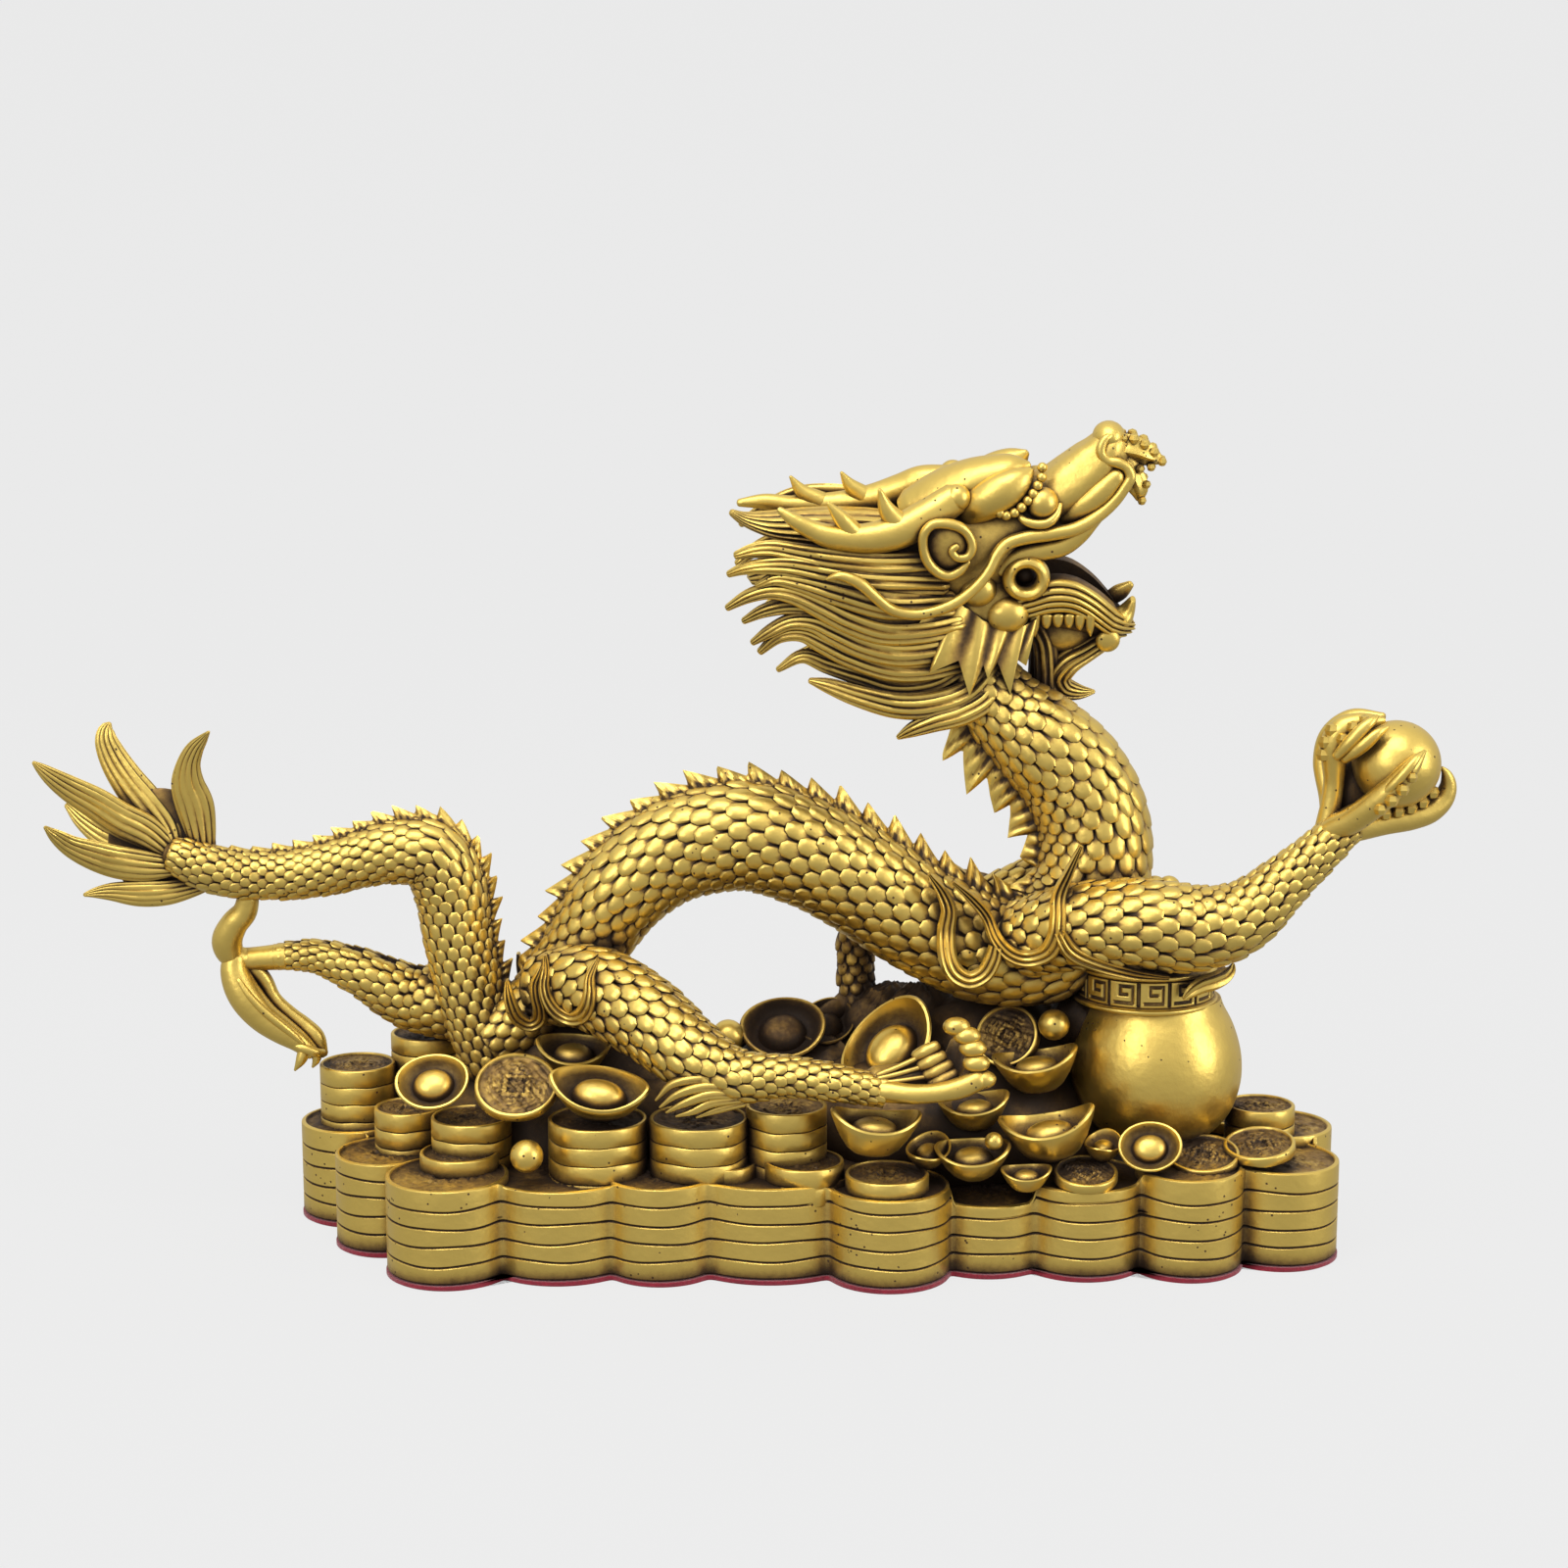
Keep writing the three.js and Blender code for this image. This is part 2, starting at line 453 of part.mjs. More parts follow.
// Thorns along the back, leaning towards the tail, with a crest height for each station of the line
function spines(stations, crest, [from, to]) {
  const line = lineThrough(stations);
  const count = Math.round((line.getLength() * (to - from)) / SPINE_PITCH);
  return Array.from({ length: count }, (_, i) => {
    const t = line.getUtoTmapping(from + ((to - from) * (i + 0.5)) / count);
    const place = t * (stations.length - 1);
    const k = Math.min(Math.floor(place), stations.length - 2);
    const radius = lerp(stations[k][3], stations[k + 1][3], place - k);
    const rise = lerp(crest[k], crest[k + 1], place - k);
    const centre = line.getPoint(t);
    const along = line.getTangent(t);
    const [side, up] = across(along);
    const at = (a, s, h) => centre.clone().addScaledVector(along, a).addScaledVector(side, s).addScaledVector(up, h);
    const half = SPINE_PITCH / 2;
    const root = radius * SPINE_ROOT;
    const foot = [at(-half, 0, root), at(half, -SPINE_HALF_THICK, root), at(half, SPINE_HALF_THICK, root)];
    return solid(skin([foot], at(0, 0, radius * SPINE_INSIDE), at(-half, 0, radius + rise)));
  });
}

const flipped = ([x, y, ...rest]) => [x, -y, ...rest];
const limbs = (lines, sides) => lines.map((l) => limb(l, sides));
const bothSides = (lines, sides) => limbs([...lines, ...lines.map((l) => l.map(flipped))], sides);

// The curled lip at each corner of the mouth
function mouthCorner(sign) {
  const { at: [x, y, z], radius, tube } = MOUTH_CORNER;
  const curl = new THREE.TorusGeometry(radius, tube, 4, 7).rotateX(Math.PI / 2).scale(1, 2, 1);
  return solid(curl.translate(x, sign * y, z));
}

// Skull, jaw, beard, antlers, ears, moustache and mane, leaning a little to the shown side
function head() {
  const parts = [
    limb(SKULL, LEG_SIDES),
    ...limbs([NOSE, JAW_FLOOR, THROAT, CROWN, ANTLER, ...CREST_LOCKS], HEAD_SIDES),
    ...limbs([JAW_TIP, BEARD, MUSTACHE, FAR_ANTLER, ...NOSE_LEAVES, ...TINES, ...FRILL], THIN_SIDES),
    ...limbs([...LOCKS, ...FAR_LOCKS], THIN_SIDES),
    ...bothSides([JAW_SIDE, BROW, EAR], THIN_SIDES),
    ...[...CHEEKS, EYE].flatMap((c) => [ball(c, 0), ball(flipped(c), 0)]),
    mouthCorner(1),
    mouthCorner(-1),
  ];
  const lean = new THREE.Matrix4().makeTranslation(0, 0, SKULL_PIVOT_Z)
    .multiply(new THREE.Matrix4().makeRotationX(SKULL_ROLL))
    .multiply(new THREE.Matrix4().makeTranslation(0, 0, -SKULL_PIVOT_Z));
  return parts.map((p) => p.transform(lean.elements));
}

function dragon() {
  return [
    limb(TRUNK, TRUNK_SIDES),
    ...limbs([TAIL, NEAR_HIND_LEG, ARM], LEG_SIDES),
    limb(FAR_HIND_LEG, FAR_LEG_SIDES),
    limb(FAR_ARM, FAR_ARM_SIDES),
    ...spines(TAIL, TAIL_CREST, TAIL_SPINES),
    ...spines(TRUNK, TRUNK_CREST, BACK_SPINES),
    ...limbs([HOCK_TUFT, ...NEAR_TOES, ...FAR_HIND_TOES, ...FAR_FRONT_TOES, ...FINGERS], THIN_SIDES),
    ...limbs([...FIN_LOBES, ...SHOULDER_RIBBONS, ...HIP_RIBBONS], THIN_SIDES),
    ball([...PEARL_CENTRE, PEARL_RADIUS], 1),
    ...head(),
  ];
}

function treasure() {
  const [x, y, radius, top] = LOW_STACK;
  const scoop = stack([x, y, radius, BASE_TOP + 1], top);
  return [
    bed(CAST_BOTTOM, BASE_TOP).subtract(scoop),
    ...UPPER_STACKS.map((s) => stack(s, BASE_TOP - STACK_SINK)),
    ...HEAP.map((h) => ball(h, 0)),
    ...INGOTS.map(ingot),
    ...COINS.map(coin),
    ...PEARLS.map((p) => ball(p, p[3] > BIG_PEARL ? 1 : 0)),
    pot(),
  ];
}

// Fills the hollows shut in between joined solids: their skins are the ones with a negative volume
const filled = (body) => wasm.Manifold.union(body.decompose().filter((skinned) => skinned.volume() > 0));

function geometryOf(body) {
  const { numProp, vertProperties, triVerts } = body.getMesh();
  const geometry = new THREE.BufferGeometry();
  geometry.setAttribute("position", new THREE.BufferAttribute(vertProperties, numProp));
  geometry.setIndex(new THREE.BufferAttribute(triVerts, 1));
  return geometry;
}

// Joins solids, drops detail smaller than the given step, and hands back a named three.js mesh
function mesh(name, solids, step, look) {
  const joined = filled(wasm.Manifold.union(solids)).simplify(step);
  const welded = filled(solid(geometryOf(joined)));
  const made = new THREE.Mesh(geometryOf(welded), new THREE.MeshStandardMaterial(look));
  made.name = name;
  return made;
}

const BRASS = { color: 0xc39a2c, roughness: 0.36, metalness: 1 };
const RED_FELT = { color: 0xa3142b, roughness: 0.95, metalness: 0 };

const figurine = new THREE.Group();
figurine.add(mesh("dragon_casting", [...dragon(), ...treasure()], CASTING_STEP, BRASS));
figurine.add(mesh("base_felt", [bed(0, FELT_THICK)], FELT_STEP, RED_FELT));

export default figurine;
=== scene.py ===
import bpy
import numpy as np
from mathutils import Matrix, Vector


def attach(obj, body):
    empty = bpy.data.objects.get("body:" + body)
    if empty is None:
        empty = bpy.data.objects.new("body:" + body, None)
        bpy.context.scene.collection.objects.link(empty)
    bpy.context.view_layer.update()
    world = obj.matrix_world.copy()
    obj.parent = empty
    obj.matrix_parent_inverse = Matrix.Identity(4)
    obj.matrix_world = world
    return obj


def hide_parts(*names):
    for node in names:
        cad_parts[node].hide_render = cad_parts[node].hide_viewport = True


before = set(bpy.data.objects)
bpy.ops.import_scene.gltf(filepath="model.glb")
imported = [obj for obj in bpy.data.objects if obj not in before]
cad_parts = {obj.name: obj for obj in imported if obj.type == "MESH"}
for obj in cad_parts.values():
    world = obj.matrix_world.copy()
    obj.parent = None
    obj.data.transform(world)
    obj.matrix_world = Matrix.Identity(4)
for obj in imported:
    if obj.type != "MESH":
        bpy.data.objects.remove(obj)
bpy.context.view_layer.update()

# Everything below is worked out in millimetres and put into metres when a mesh is made
MM = 0.001
TAU = 2 * np.pi
UNDERNEATH = 1.5 * np.pi
rng = np.random.default_rng(8)

# The bed: bulges of its wavy edge, each [x, y, radius, top], all the way round
FRONT_ROW = [
    [-92, -31.8, 15.5, 25.3], [-64.5, -23.9, 20, 24], [-38.9, -30, 14.6, 25], [-11.5, -17.2, 26, 24.6],
    [18, -33.9, 15.5, 23.5], [43.2, -22.8, 16, 18.7], [67.5, -25.6, 15.5, 23.2], [93.5, -28.1, 13.7, 26.2],
    [118, -18.5, 15, 25.5],
]
RIGHT_END = [[122, 4, 13.4, 27.5], [114, 25, 14, 24.8]]
BACK_ROW = [
    [91, 31, 15, 25.6], [64, 27, 19, 24.2], [37, 32, 15, 25.2], [9, 24, 22, 24.8], [-19, 33, 15, 25.6],
    [-46, 28, 19, 24.4], [-74, 32, 15, 25.4],
]
LEFT_END = [[-101, 30, 16, 24.7], [-122, 14.7, 14.2, 25.8], [-110.5, -10, 13, 24.4]]
BED_EDGE = FRONT_ROW + RIGHT_END + BACK_ROW + LEFT_END
# Stacks of the second tier, each [x, y, radius, top]
UPPER_STACKS = [
    [-121, 15, 10, 41], [-103, 22, 10, 47.5], [-105.2, -4, 8.8, 34.5], [-87.4, -17.5, 10.2, 36],
    [-89.8, -24, 10, 28.6], [-54.8, -25.9, 12.4, 38], [-29.4, -26.5, 12.4, 38.3], [-7.4, -24.6, 10.2, 41],
    [-23.5, -28, 9, 27.4], [-3, -31, 10, 28.6], [17.5, -37, 10.4, 27.2], [115.5, -2, 9, 34.6],
    [-76, 30, 12, 37], [-38, 31, 12, 40], [0, 30, 12, 36], [34, 31, 12, 39], [70, 28, 12, 35],
]
# Foot of the wall, thickness of the felt, of a layer of coins and of a bulge's top coin, and where the
# second tier stands
BED_BOTTOM = 1.5
FELT_THICK = 1.2
LAYER = 4.7
TOP_COIN = 3.2
TIER_FOOT = 18
# The deck that closes the bed behind its edge: its height, and how far in from the outline it starts
DECK = 16.5
DECK_INSET = 1.8
# The felt: how far it shows past the wall, and its section, each [height, share of the outline's size]
FELT_OUT = 0.25
FELT_LEVELS = [[0, 0.995], [0.3, 1.0], [FELT_THICK, 1.0], [FELT_THICK, 0.99]]
# Heights of the grooves round the bed, and the section of one, each [above its middle, depth, patina]
GROOVES = [6.1, 10.8, 15.5, 20.2]
GROOVE_SHAPE = [[-0.42, 0.0, 0.0], [-0.2, 0.25, 0.6], [0, 0.5, 1.0], [0.2, 0.25, 0.7], [0.42, 0.0, 0.05]]
# The rounded edge above the wall, each [height over the top, depth, patina]
EDGE_SHAPE = [[-0.7, 0, -0.05], [-0.3, 0.05, -0.2], [-0.05, 0.35, -0.3], [0, 0.8, -0.15], [-0.5, 1.2, 0.7]]
# Ingots, each [x, y, z of the egg, half length, turn, lean to the viewer, tip, breadth, rise of the ends]
INGOTS = [
    [-96.6, -21, 45.5, 9.4, 8, 46, 0, 0.84, 0.12], [-61.6, -13, 51.5, 9.6, -4, 20, 2, 0.72, 0.22],
    [-53.9, -32, 46.4, 12.8, -6, 32, 4, 0.6, 0.2], [-25, 13, 47, 7, 20, 26, 0, 0.8, 0.15],
    [19, -3, 50, 14.4, 30, 42, -26, 0.74, 0.2], [56, -16, 49, 11, -4, 4, -9, 0.74, 0.24],
    [58, -31, 36.4, 12.2, -6, 5, -11, 0.68, 0.3], [40, -22, 39.6, 9.2, 4, 8, -6, 0.74, 0.22],
    [14.4, -38.5, 39.6, 11.4, 6, 5, 5, 0.7, 0.26], [39, -33, 30.4, 9.6, -2, 12, -3, 0.76, 0.2],
    [28, -31, 31, 6.8, 62, 16, 0, 0.8, 0.16], [52, -37, 26.6, 6.4, 0, 8, -2, 0.76, 0.2],
    [83, -33, 32.4, 8, -4, 54, -8, 0.82, 0.1], [72, -28, 31.4, 6, 70, 10, 0, 0.8, 0.2],
    [-22, 27, 42, 12, 150, -14, 4, 0.7, 0.26], [18, 30, 42, 12, 190, -12, -6, 0.72, 0.24],
    [54, 27, 40, 11, 172, -12, 6, 0.74, 0.22], [-58, 25, 44, 11, 12, -20, -4, 0.72, 0.24],
]
# Ingots in the shade behind, painted dark all over as shade
SHADED_INGOTS = [[-8.4, 9, 51.4, 11.4, 14, 40, 2, 0.86, 0.12], [3, 16, 51, 9, 60, 30, 0, 0.84, 0.12]]
# Loose coins, each [x, y, z, radius, lean to the viewer, tip], their thickness, and pearls, each [x, y,
# z, radius]
COINS = [
    [-75.1, -25, 45.5, 10.4, 34, 3], [49.5, -6, 53.5, 8.4, 50, -34], [67, -34, 25.6, 8, 12, 0],
    [97.5, -25, 27.4, 9.2, 14, -4], [112, -23, 29.4, 9, 10, -6],
]
COIN_THICK = 2.6
PEARLS = [[-71.6, -37.5, 31.5, 4.1], [-22.6, 6, 50.5, 4.3], [60.8, -11, 58, 4], [44, -35, 34.5, 2.3]]
# The heap under the ingots, of ellipsoids, each [x, y, z, radius x, radius y, radius z]: those with coins
# on their hidden side and how many lie on each, those that fill the gaps, and the height where all end
COIN_HEAPS = [
    [34, 4, 28, 44, 27, 21], [-58, 5, 26, 44, 24, 20], [48, 12, 36, 30, 16, 26], [-58, 4, 36, 24, 15, 24],
]
COINS_A_HEAP = 9
FILL_HEAPS = [
    [20.5, 21, 44, 14, 12, 17], [70, 2, 56, 9, 9, 8], [0, 15, 38, 24, 12, 11], [29, 15, 50, 12, 8, 12.6],
]
HEAP_BOTTOM = 6
# The pot's axis [x, y] and its outline, each [radius, height], and its collar
POT_AXIS = [87.9, -4]
POT_PROFILE = [
    [0, 24], [9, 25], [14.9, 29], [19.4, 34.5], [21.5, 40.5], [22, 45.4], [21.4, 51], [19.4, 57.2],
    [17, 61.8], [16.2, 64],
]
COLLAR_AXIS = [84.8, -4]
COLLAR_BAND = [65, 71.3]
COLLAR_RADIUS = 17.6
FRET_PITCH = 7.9
# A mass painted dark as shade between the collar and the forearm, [x, y, z, radius x, radius y, radius
# z], the neck inside the collar, painted dark as shade, each [radius, height], and a leaf on the collar's
# right end
NECK_SHADE = [93, -4, 70.6, 12.4, 11, 6]
INNER_NECK = [[0, 70], [14.6, 70.5], [14.2, 76], [11, 81], [0, 82]]
COLLAR_LEAF = [
    [92.1, -22.5, 67.7, 0.5], [93.8, -22.4, 69.4, 1.3], [96.5, -21.8, 71, 1.8], [100.2, -20.4, 71.9, 2],
    [102.9, -18.6, 72.7, 1.7], [104.5, -17.6, 73.9, 1.1], [105.1, -17, 75.3, 0.4],
]

# Lines of the dragon, each station [x, y, z, half width] or [x, y, z, half width, half height]; a crest
# gives the height of the spines at each station of its line
TAIL = [
    [-166.4, 4.6, 99.4, 4], [-164, 4.6, 98.6, 5], [-161.4, 5, 97.3, 5.6], [-156.5, 5.6, 95.2, 6.1],
    [-150.2, 7, 93.4, 6.3], [-142.8, 8, 92.9, 6.4], [-135.1, 8, 93.2, 6.6], [-124.9, 8, 95, 7],
    [-114.7, 8, 97.9, 7.6], [-109.1, 8, 99, 8.2], [-99, 8, 98, 9.2], [-94.5, 8, 89, 9.4], [-93, 7, 78, 9],
    [-90, 6, 65, 8.8], [-86, 5, 52, 9], [-82, 4, 42, 9],
]
TAIL_CREST = [0.4, 0.4, 0.6, 1, 1.4, 1.8, 2.2, 2.8, 3.4, 3.6, 3.6, 3.6, 3.6, 3.6, 3.6, 3.6]
TRUNK = [
    [-84, 4, 50, 9], [-72, 4, 58, 9.6], [-61, 3, 73, 10.4], [-49, 0, 91, 11.8], [-36, 0, 101, 13],
    [-18, 0, 105, 13.8], [-3, 0, 101, 13.8], [12, 0, 93, 13.6], [29, 0, 82, 13.6], [46, 0, 75, 13.8],
    [61, 0, 77, 14.4], [69.5, 0, 88, 14.4], [71.8, 0, 99, 14.2], [70.8, 0, 110, 13.8], [65.5, 0, 121, 13.4],
    [57, -0.5, 130, 12.4], [48, 0, 138, 10.4], [41, 0, 147, 9], [36, 0, 157, 8],
]
TRUNK_CREST = [3, 4, 4.6, 4.8, 5, 5, 5, 5.4, 6, 6.4, 6, 5, 6, 8, 9.6, 10.4, 10.4, 8, 5]
# The station of the trunk where the crest of the neck begins
NECK_STATION = 13
NEAR_HIND_LEG = [
    [-70, -4, 66, 9], [-57, -12, 68, 10.2], [-43, -22, 63, 10], [-31, -30, 55.5, 8.6], [-20, -34, 51, 6.6],
    [-8, -36, 51.5, 5.2], [4, -38, 50.5, 4.6], [17, -38, 48, 3.8],
]
FAR_HIND_LEG = [
    [-82, 12, 55, 9], [-96, 14, 57, 9], [-107, 15, 59, 8.2], [-119, 14, 65.5, 6.2], [-130, 14, 69.8, 4.6],
    [-137, 14, 70.1, 3.9], [-142, 13.5, 69.9, 3.4],
]
ARM = [
    [52, -10, 80, 9.4], [66, -17, 85, 10.4], [82, -22, 86.5, 11], [96, -23, 86, 10.2], [106, -23, 89, 8.6],
    [117, -22, 98, 6.4], [127, -21, 107, 5.2], [132, -20, 112, 4.8],
]
FAR_ARM = [
    [50, 10, 82, 9], [38, 18, 84, 7.6], [24, 23, 84, 7], [14.5, 25, 79, 6.2], [11.2, 26, 70, 5.2],
    [11, 26, 62, 5], [12, 25, 54, 5],
]
FAR_SHOULDER = [[46, 8, 84, 8], [60, 14, 88, 8.6], [74, 17, 88, 7.6], [86, 14, 84, 5]]
# The near hind foot: its longest toe and its sole
NEAR_TOE = [
    [14, -38.4, 48.6, 3], [18, -39.6, 48.6, 2.8], [23, -41, 48.4, 2.5], [29, -41.5, 48.8, 2.4],
    [35.4, -41.4, 50.2, 2.7], [39.8, -41, 52.2, 2.6],
]
NEAR_SOLE = [
    [14, -36, 50.4, 3.6], [20, -35.4, 50.4, 4], [29, -33, 51.5, 4], [34, -32, 54, 3.4], [35, -32, 59, 2],
]
# Knuckles of its longest toe, each [x, y, z], their radii, its four inner toes and the tendons to them,
# and the tuft of hair at its hock
KNUCKLES = [
    [40.6, -40.6, 52], [39, -40.4, 56], [38.2, -39.8, 59.6], [36.8, -39.2, 62.6], [34.2, -38.6, 64.8],
]
KNUCKLE_RADII = [3.4, 2.6, 2.3]
INNER_TOES = [
    [[24.4, -35.6, 56.4, 1.5], [26.8, -36.2, 57.8, 1.8], [29.6, -36, 59.2, 1.4]],
    [[25.6, -36.6, 54.2, 1.6], [28.2, -37.2, 55.6, 1.9], [31.2, -36.8, 57, 1.4]],
    [[27, -37.6, 52, 1.6], [29.8, -38.2, 53.4, 1.9], [32.8, -37.8, 55, 1.4]],
    [[28.2, -38.6, 49.8, 1.6], [31, -39.2, 51.4, 1.9], [34, -38.8, 53, 1.4]],
]
TENDONS = [
    [[15, -38.4, 52.4, 0.8], [20, -38, 54.4, 0.7], [24.8, -36.4, 56.2, 0.7]],
    [[15, -39, 51.6, 0.8], [20, -38.6, 52.8, 0.7], [26, -37.2, 54.2, 0.7]],
    [[15, -39.6, 50.6, 0.8], [20, -39.4, 51.2, 0.7], [27.4, -38.2, 52, 0.7]],
    [[15, -40, 49.6, 0.8], [20, -40, 49.8, 0.7], [28.4, -39.2, 49.8, 0.7]],
]
HOCK_TUFT = [
    [[-20, -37.6, 50.4, 1.4], [-29, -38.4, 51.4, 1.5], [-35.4, -38, 50, 1.1], [-39.6, -37.4, 45.8, 0.3]],
    [[-20, -38, 49, 1.4], [-28, -39.2, 49.6, 1.5], [-34, -39, 47.8, 1.1], [-38.6, -38.2, 44.2, 0.3]],
    [[-20, -38, 47.6, 1.4], [-27, -39.4, 47.6, 1.5], [-32.6, -39.4, 45.6, 1.1], [-37, -38.6, 43, 0.3]],
    [[-19, -37.6, 46.2, 1.3], [-26, -39, 45.6, 1.4], [-30.6, -39, 43.4, 1], [-34.6, -38.4, 42, 0.3]],
    [[-18, -37, 45, 1.2], [-24, -38, 43.8, 1.2], [-29.6, -38, 41.6, 0.3]],
]
# Toes and claws of the far hind foot, and toes of the far forefoot, in the shade and painted dark as shade
FAR_HIND_TOES = [
    [[-139, 13.6, 70, 3.6], [-145.5, 13, 69.6, 3.2], [-149.5, 12.5, 69.4, 3.2], [-151.6, 11, 70.4, 3]],
    [
        [-150.4, 12, 69.8, 2.8], [-152.7, 11, 71.4, 3.6], [-153.5, 10, 75, 4], [-151.3, 9, 79.7, 3.6],
        [-148.3, 8.5, 83.2, 3.2], [-147.1, 8, 87.6, 2.8],
    ],
    [
        [-151.7, 11, 70.6, 3.1], [-152, 10.5, 67.5, 3.6], [-150.8, 10, 63.4, 4.2], [-148.5, 9.5, 59.3, 4.4],
        [-144.8, 9.5, 54.8, 4.1], [-140, 9.5, 51.1, 3.6], [-135.5, 9.8, 47.9, 2.8], [-132.3, 10, 44.9, 2.1],
    ],
    [
        [-147.6, 13, 67.4, 2.3], [-144.7, 13.5, 63.6, 2.1], [-142.3, 13.5, 58.8, 1.8],
        [-138.3, 13.5, 54.6, 1.9], [-134.3, 13.5, 51.1, 2.2], [-131.4, 13, 48.3, 2.2],
        [-130, 13, 43.6, 1.6],
    ],
    [
        [-150.3, 6.9, 65.3, 0.8], [-147.5, 6.1, 61.3, 1], [-144, 6.1, 57.4, 1.1], [-140.1, 6.3, 53.9, 1.1],
        [-136.3, 7.3, 50.2, 1], [-133.9, 8, 47.5, 0.7],
    ],
    [[-136.5, 8, 47.5, 0.8], [-133.9, 7.8, 46.6, 1.2], [-130.6, 9, 45.1, 1.2], [-129.4, 11, 44.9, 0.8]],
    [[-134.2, 9, 45.1, 1.7], [-134.9, 8.4, 43.2, 1.4], [-136.5, 8, 40.6, 0.3]],
    [[-131.3, 10, 44.9, 1.5], [-131, 9.8, 43.1, 1.2], [-132.1, 9.6, 41, 0.3]],
]
FAR_FRONT_TOES = [
    [[12, 25, 56, 4.2], [5, 22, 53, 3], [-1, 18, 51, 1.6]],
    [[12, 25, 56, 4.2], [14, 20, 54, 3], [21, 15, 55, 2.4], [26, 11, 56, 1.4]],
    [[12, 25, 56, 4.2], [18, 28, 53, 3], [24, 30, 48, 1.8]],
]
# The raised hand: its palm and the palm's hollow, painted darker as shade, [x, y, z, radius x, radius
# y, radius z], its fingers, and the claws that lie on them
PALM = [
    [126, -20, 105, 4.2], [128.4, -20.4, 109, 4.6], [131.4, -20.4, 112, 4.6, 4], [134, -20, 115, 3, 2.4],
]
PALM_HOLLOW = [134.4, -14, 119, 5.6, 5, 8.6]
FINGERS = [
    [
        [126.6, -19, 107, 3.2], [127.1, -19, 111.2, 2.9], [127.9, -19, 116.7, 2.6],
        [128.4, -19, 122.1, 2.6], [128.2, -19.5, 126.7, 3], [127.9, -20, 131.2, 3.5],
        [129.4, -20.5, 135.2, 3.3], [132.9, -21, 136.9, 2.9], [136.5, -21, 137.6, 2.1],
        [139.8, -21, 138, 0.8],
    ],
    [
        [126.6, -21, 107.6, 3.2], [127.5, -22, 110.3, 3.1], [131.7, -25, 113.4, 3.3],
        [135.7, -28, 117.3, 3.3], [139, -30, 120.9, 3.2], [141.6, -31, 124, 2.8], [144.3, -31, 127.4, 2.3],
        [146.5, -30.4, 129.9, 1.5], [148.3, -29.6, 131.7, 0.4],
    ],
    [
        [127, -19, 107.6, 2.8], [129.1, -19, 109, 3], [134.9, -18, 110.2, 3.2], [141.7, -17, 111.6, 3.2],
        [148.7, -16, 112.8, 3.3], [153.6, -15, 114.4, 3.2], [156.8, -14.6, 117.2, 2.7],
        [157.8, -15, 120.6, 2.1], [157, -16, 123.6, 1.3], [155.7, -16.6, 125.4, 0.4],
    ],
    [
        [129, -19, 110, 3.4], [129, -12, 117, 2.8], [127.5, -9, 126, 2.5], [129, -9, 132.5, 2.5],
        [134, -11, 137, 2.3], [141, -15, 138, 1],
    ],
]
CLAWS = [
    [
        [127.8, -24.2, 129.4, 1.2], [130.3, -25.6, 132.8, 1.6], [133.2, -26, 136.1, 1.6],
        [135.9, -25.4, 138.4, 1.2], [137.5, -24.4, 139.5, 0.5],
    ],
    [
        [129.9, -23.6, 128.6, 1.2], [132.3, -25.4, 131.1, 1.7], [134.9, -26.4, 133.5, 1.7],
        [137.4, -26.4, 135.7, 1.2], [140, -25.4, 137, 0.4],
    ],
    [
        [137.4, -31, 120.3, 1], [139.8, -32.6, 123.3, 1.3], [142.6, -33.4, 126.8, 1.3],
        [145.2, -33, 129.9, 1], [147.7, -31, 132, 0.3],
    ],
]
# Small knobs along the fingers, and larger ones behind the far shoulder, each [x, y, z, radius]
KNURLS = [
    [141.4, -19.6, 114.4, 1.9], [144.6, -19.2, 115, 2], [147.8, -18.6, 115.8, 2], [150.8, -18, 117, 1.9],
    [153.2, -18, 119.4, 1.8], [129.4, -23.4, 133.6, 1.9], [131.8, -23.6, 136.4, 1.9],
    [134.6, -23, 138, 1.7], [137.4, -32.2, 117.6, 1.7], [139.8, -33.2, 120, 1.8], [142.2, -34, 122.8, 1.7],
    [144.4, -33.6, 125.8, 1.5], [125.2, -21, 129.4, 1.9], [125.6, -21.4, 132.6, 1.9],
    [127, -21.8, 135.6, 1.9],
]
SHOULDER_KNOBS = [
    [84, 5, 89.4, 3.4], [87.9, 5, 90.2, 3.2], [91.5, 5, 90.4, 3], [94.5, 4, 89, 2.8], [97.4, 3, 87, 2.6],
]
PEARL_CENTRE = [144, -18, 126.5]
PEARL_RADIUS = 10.9
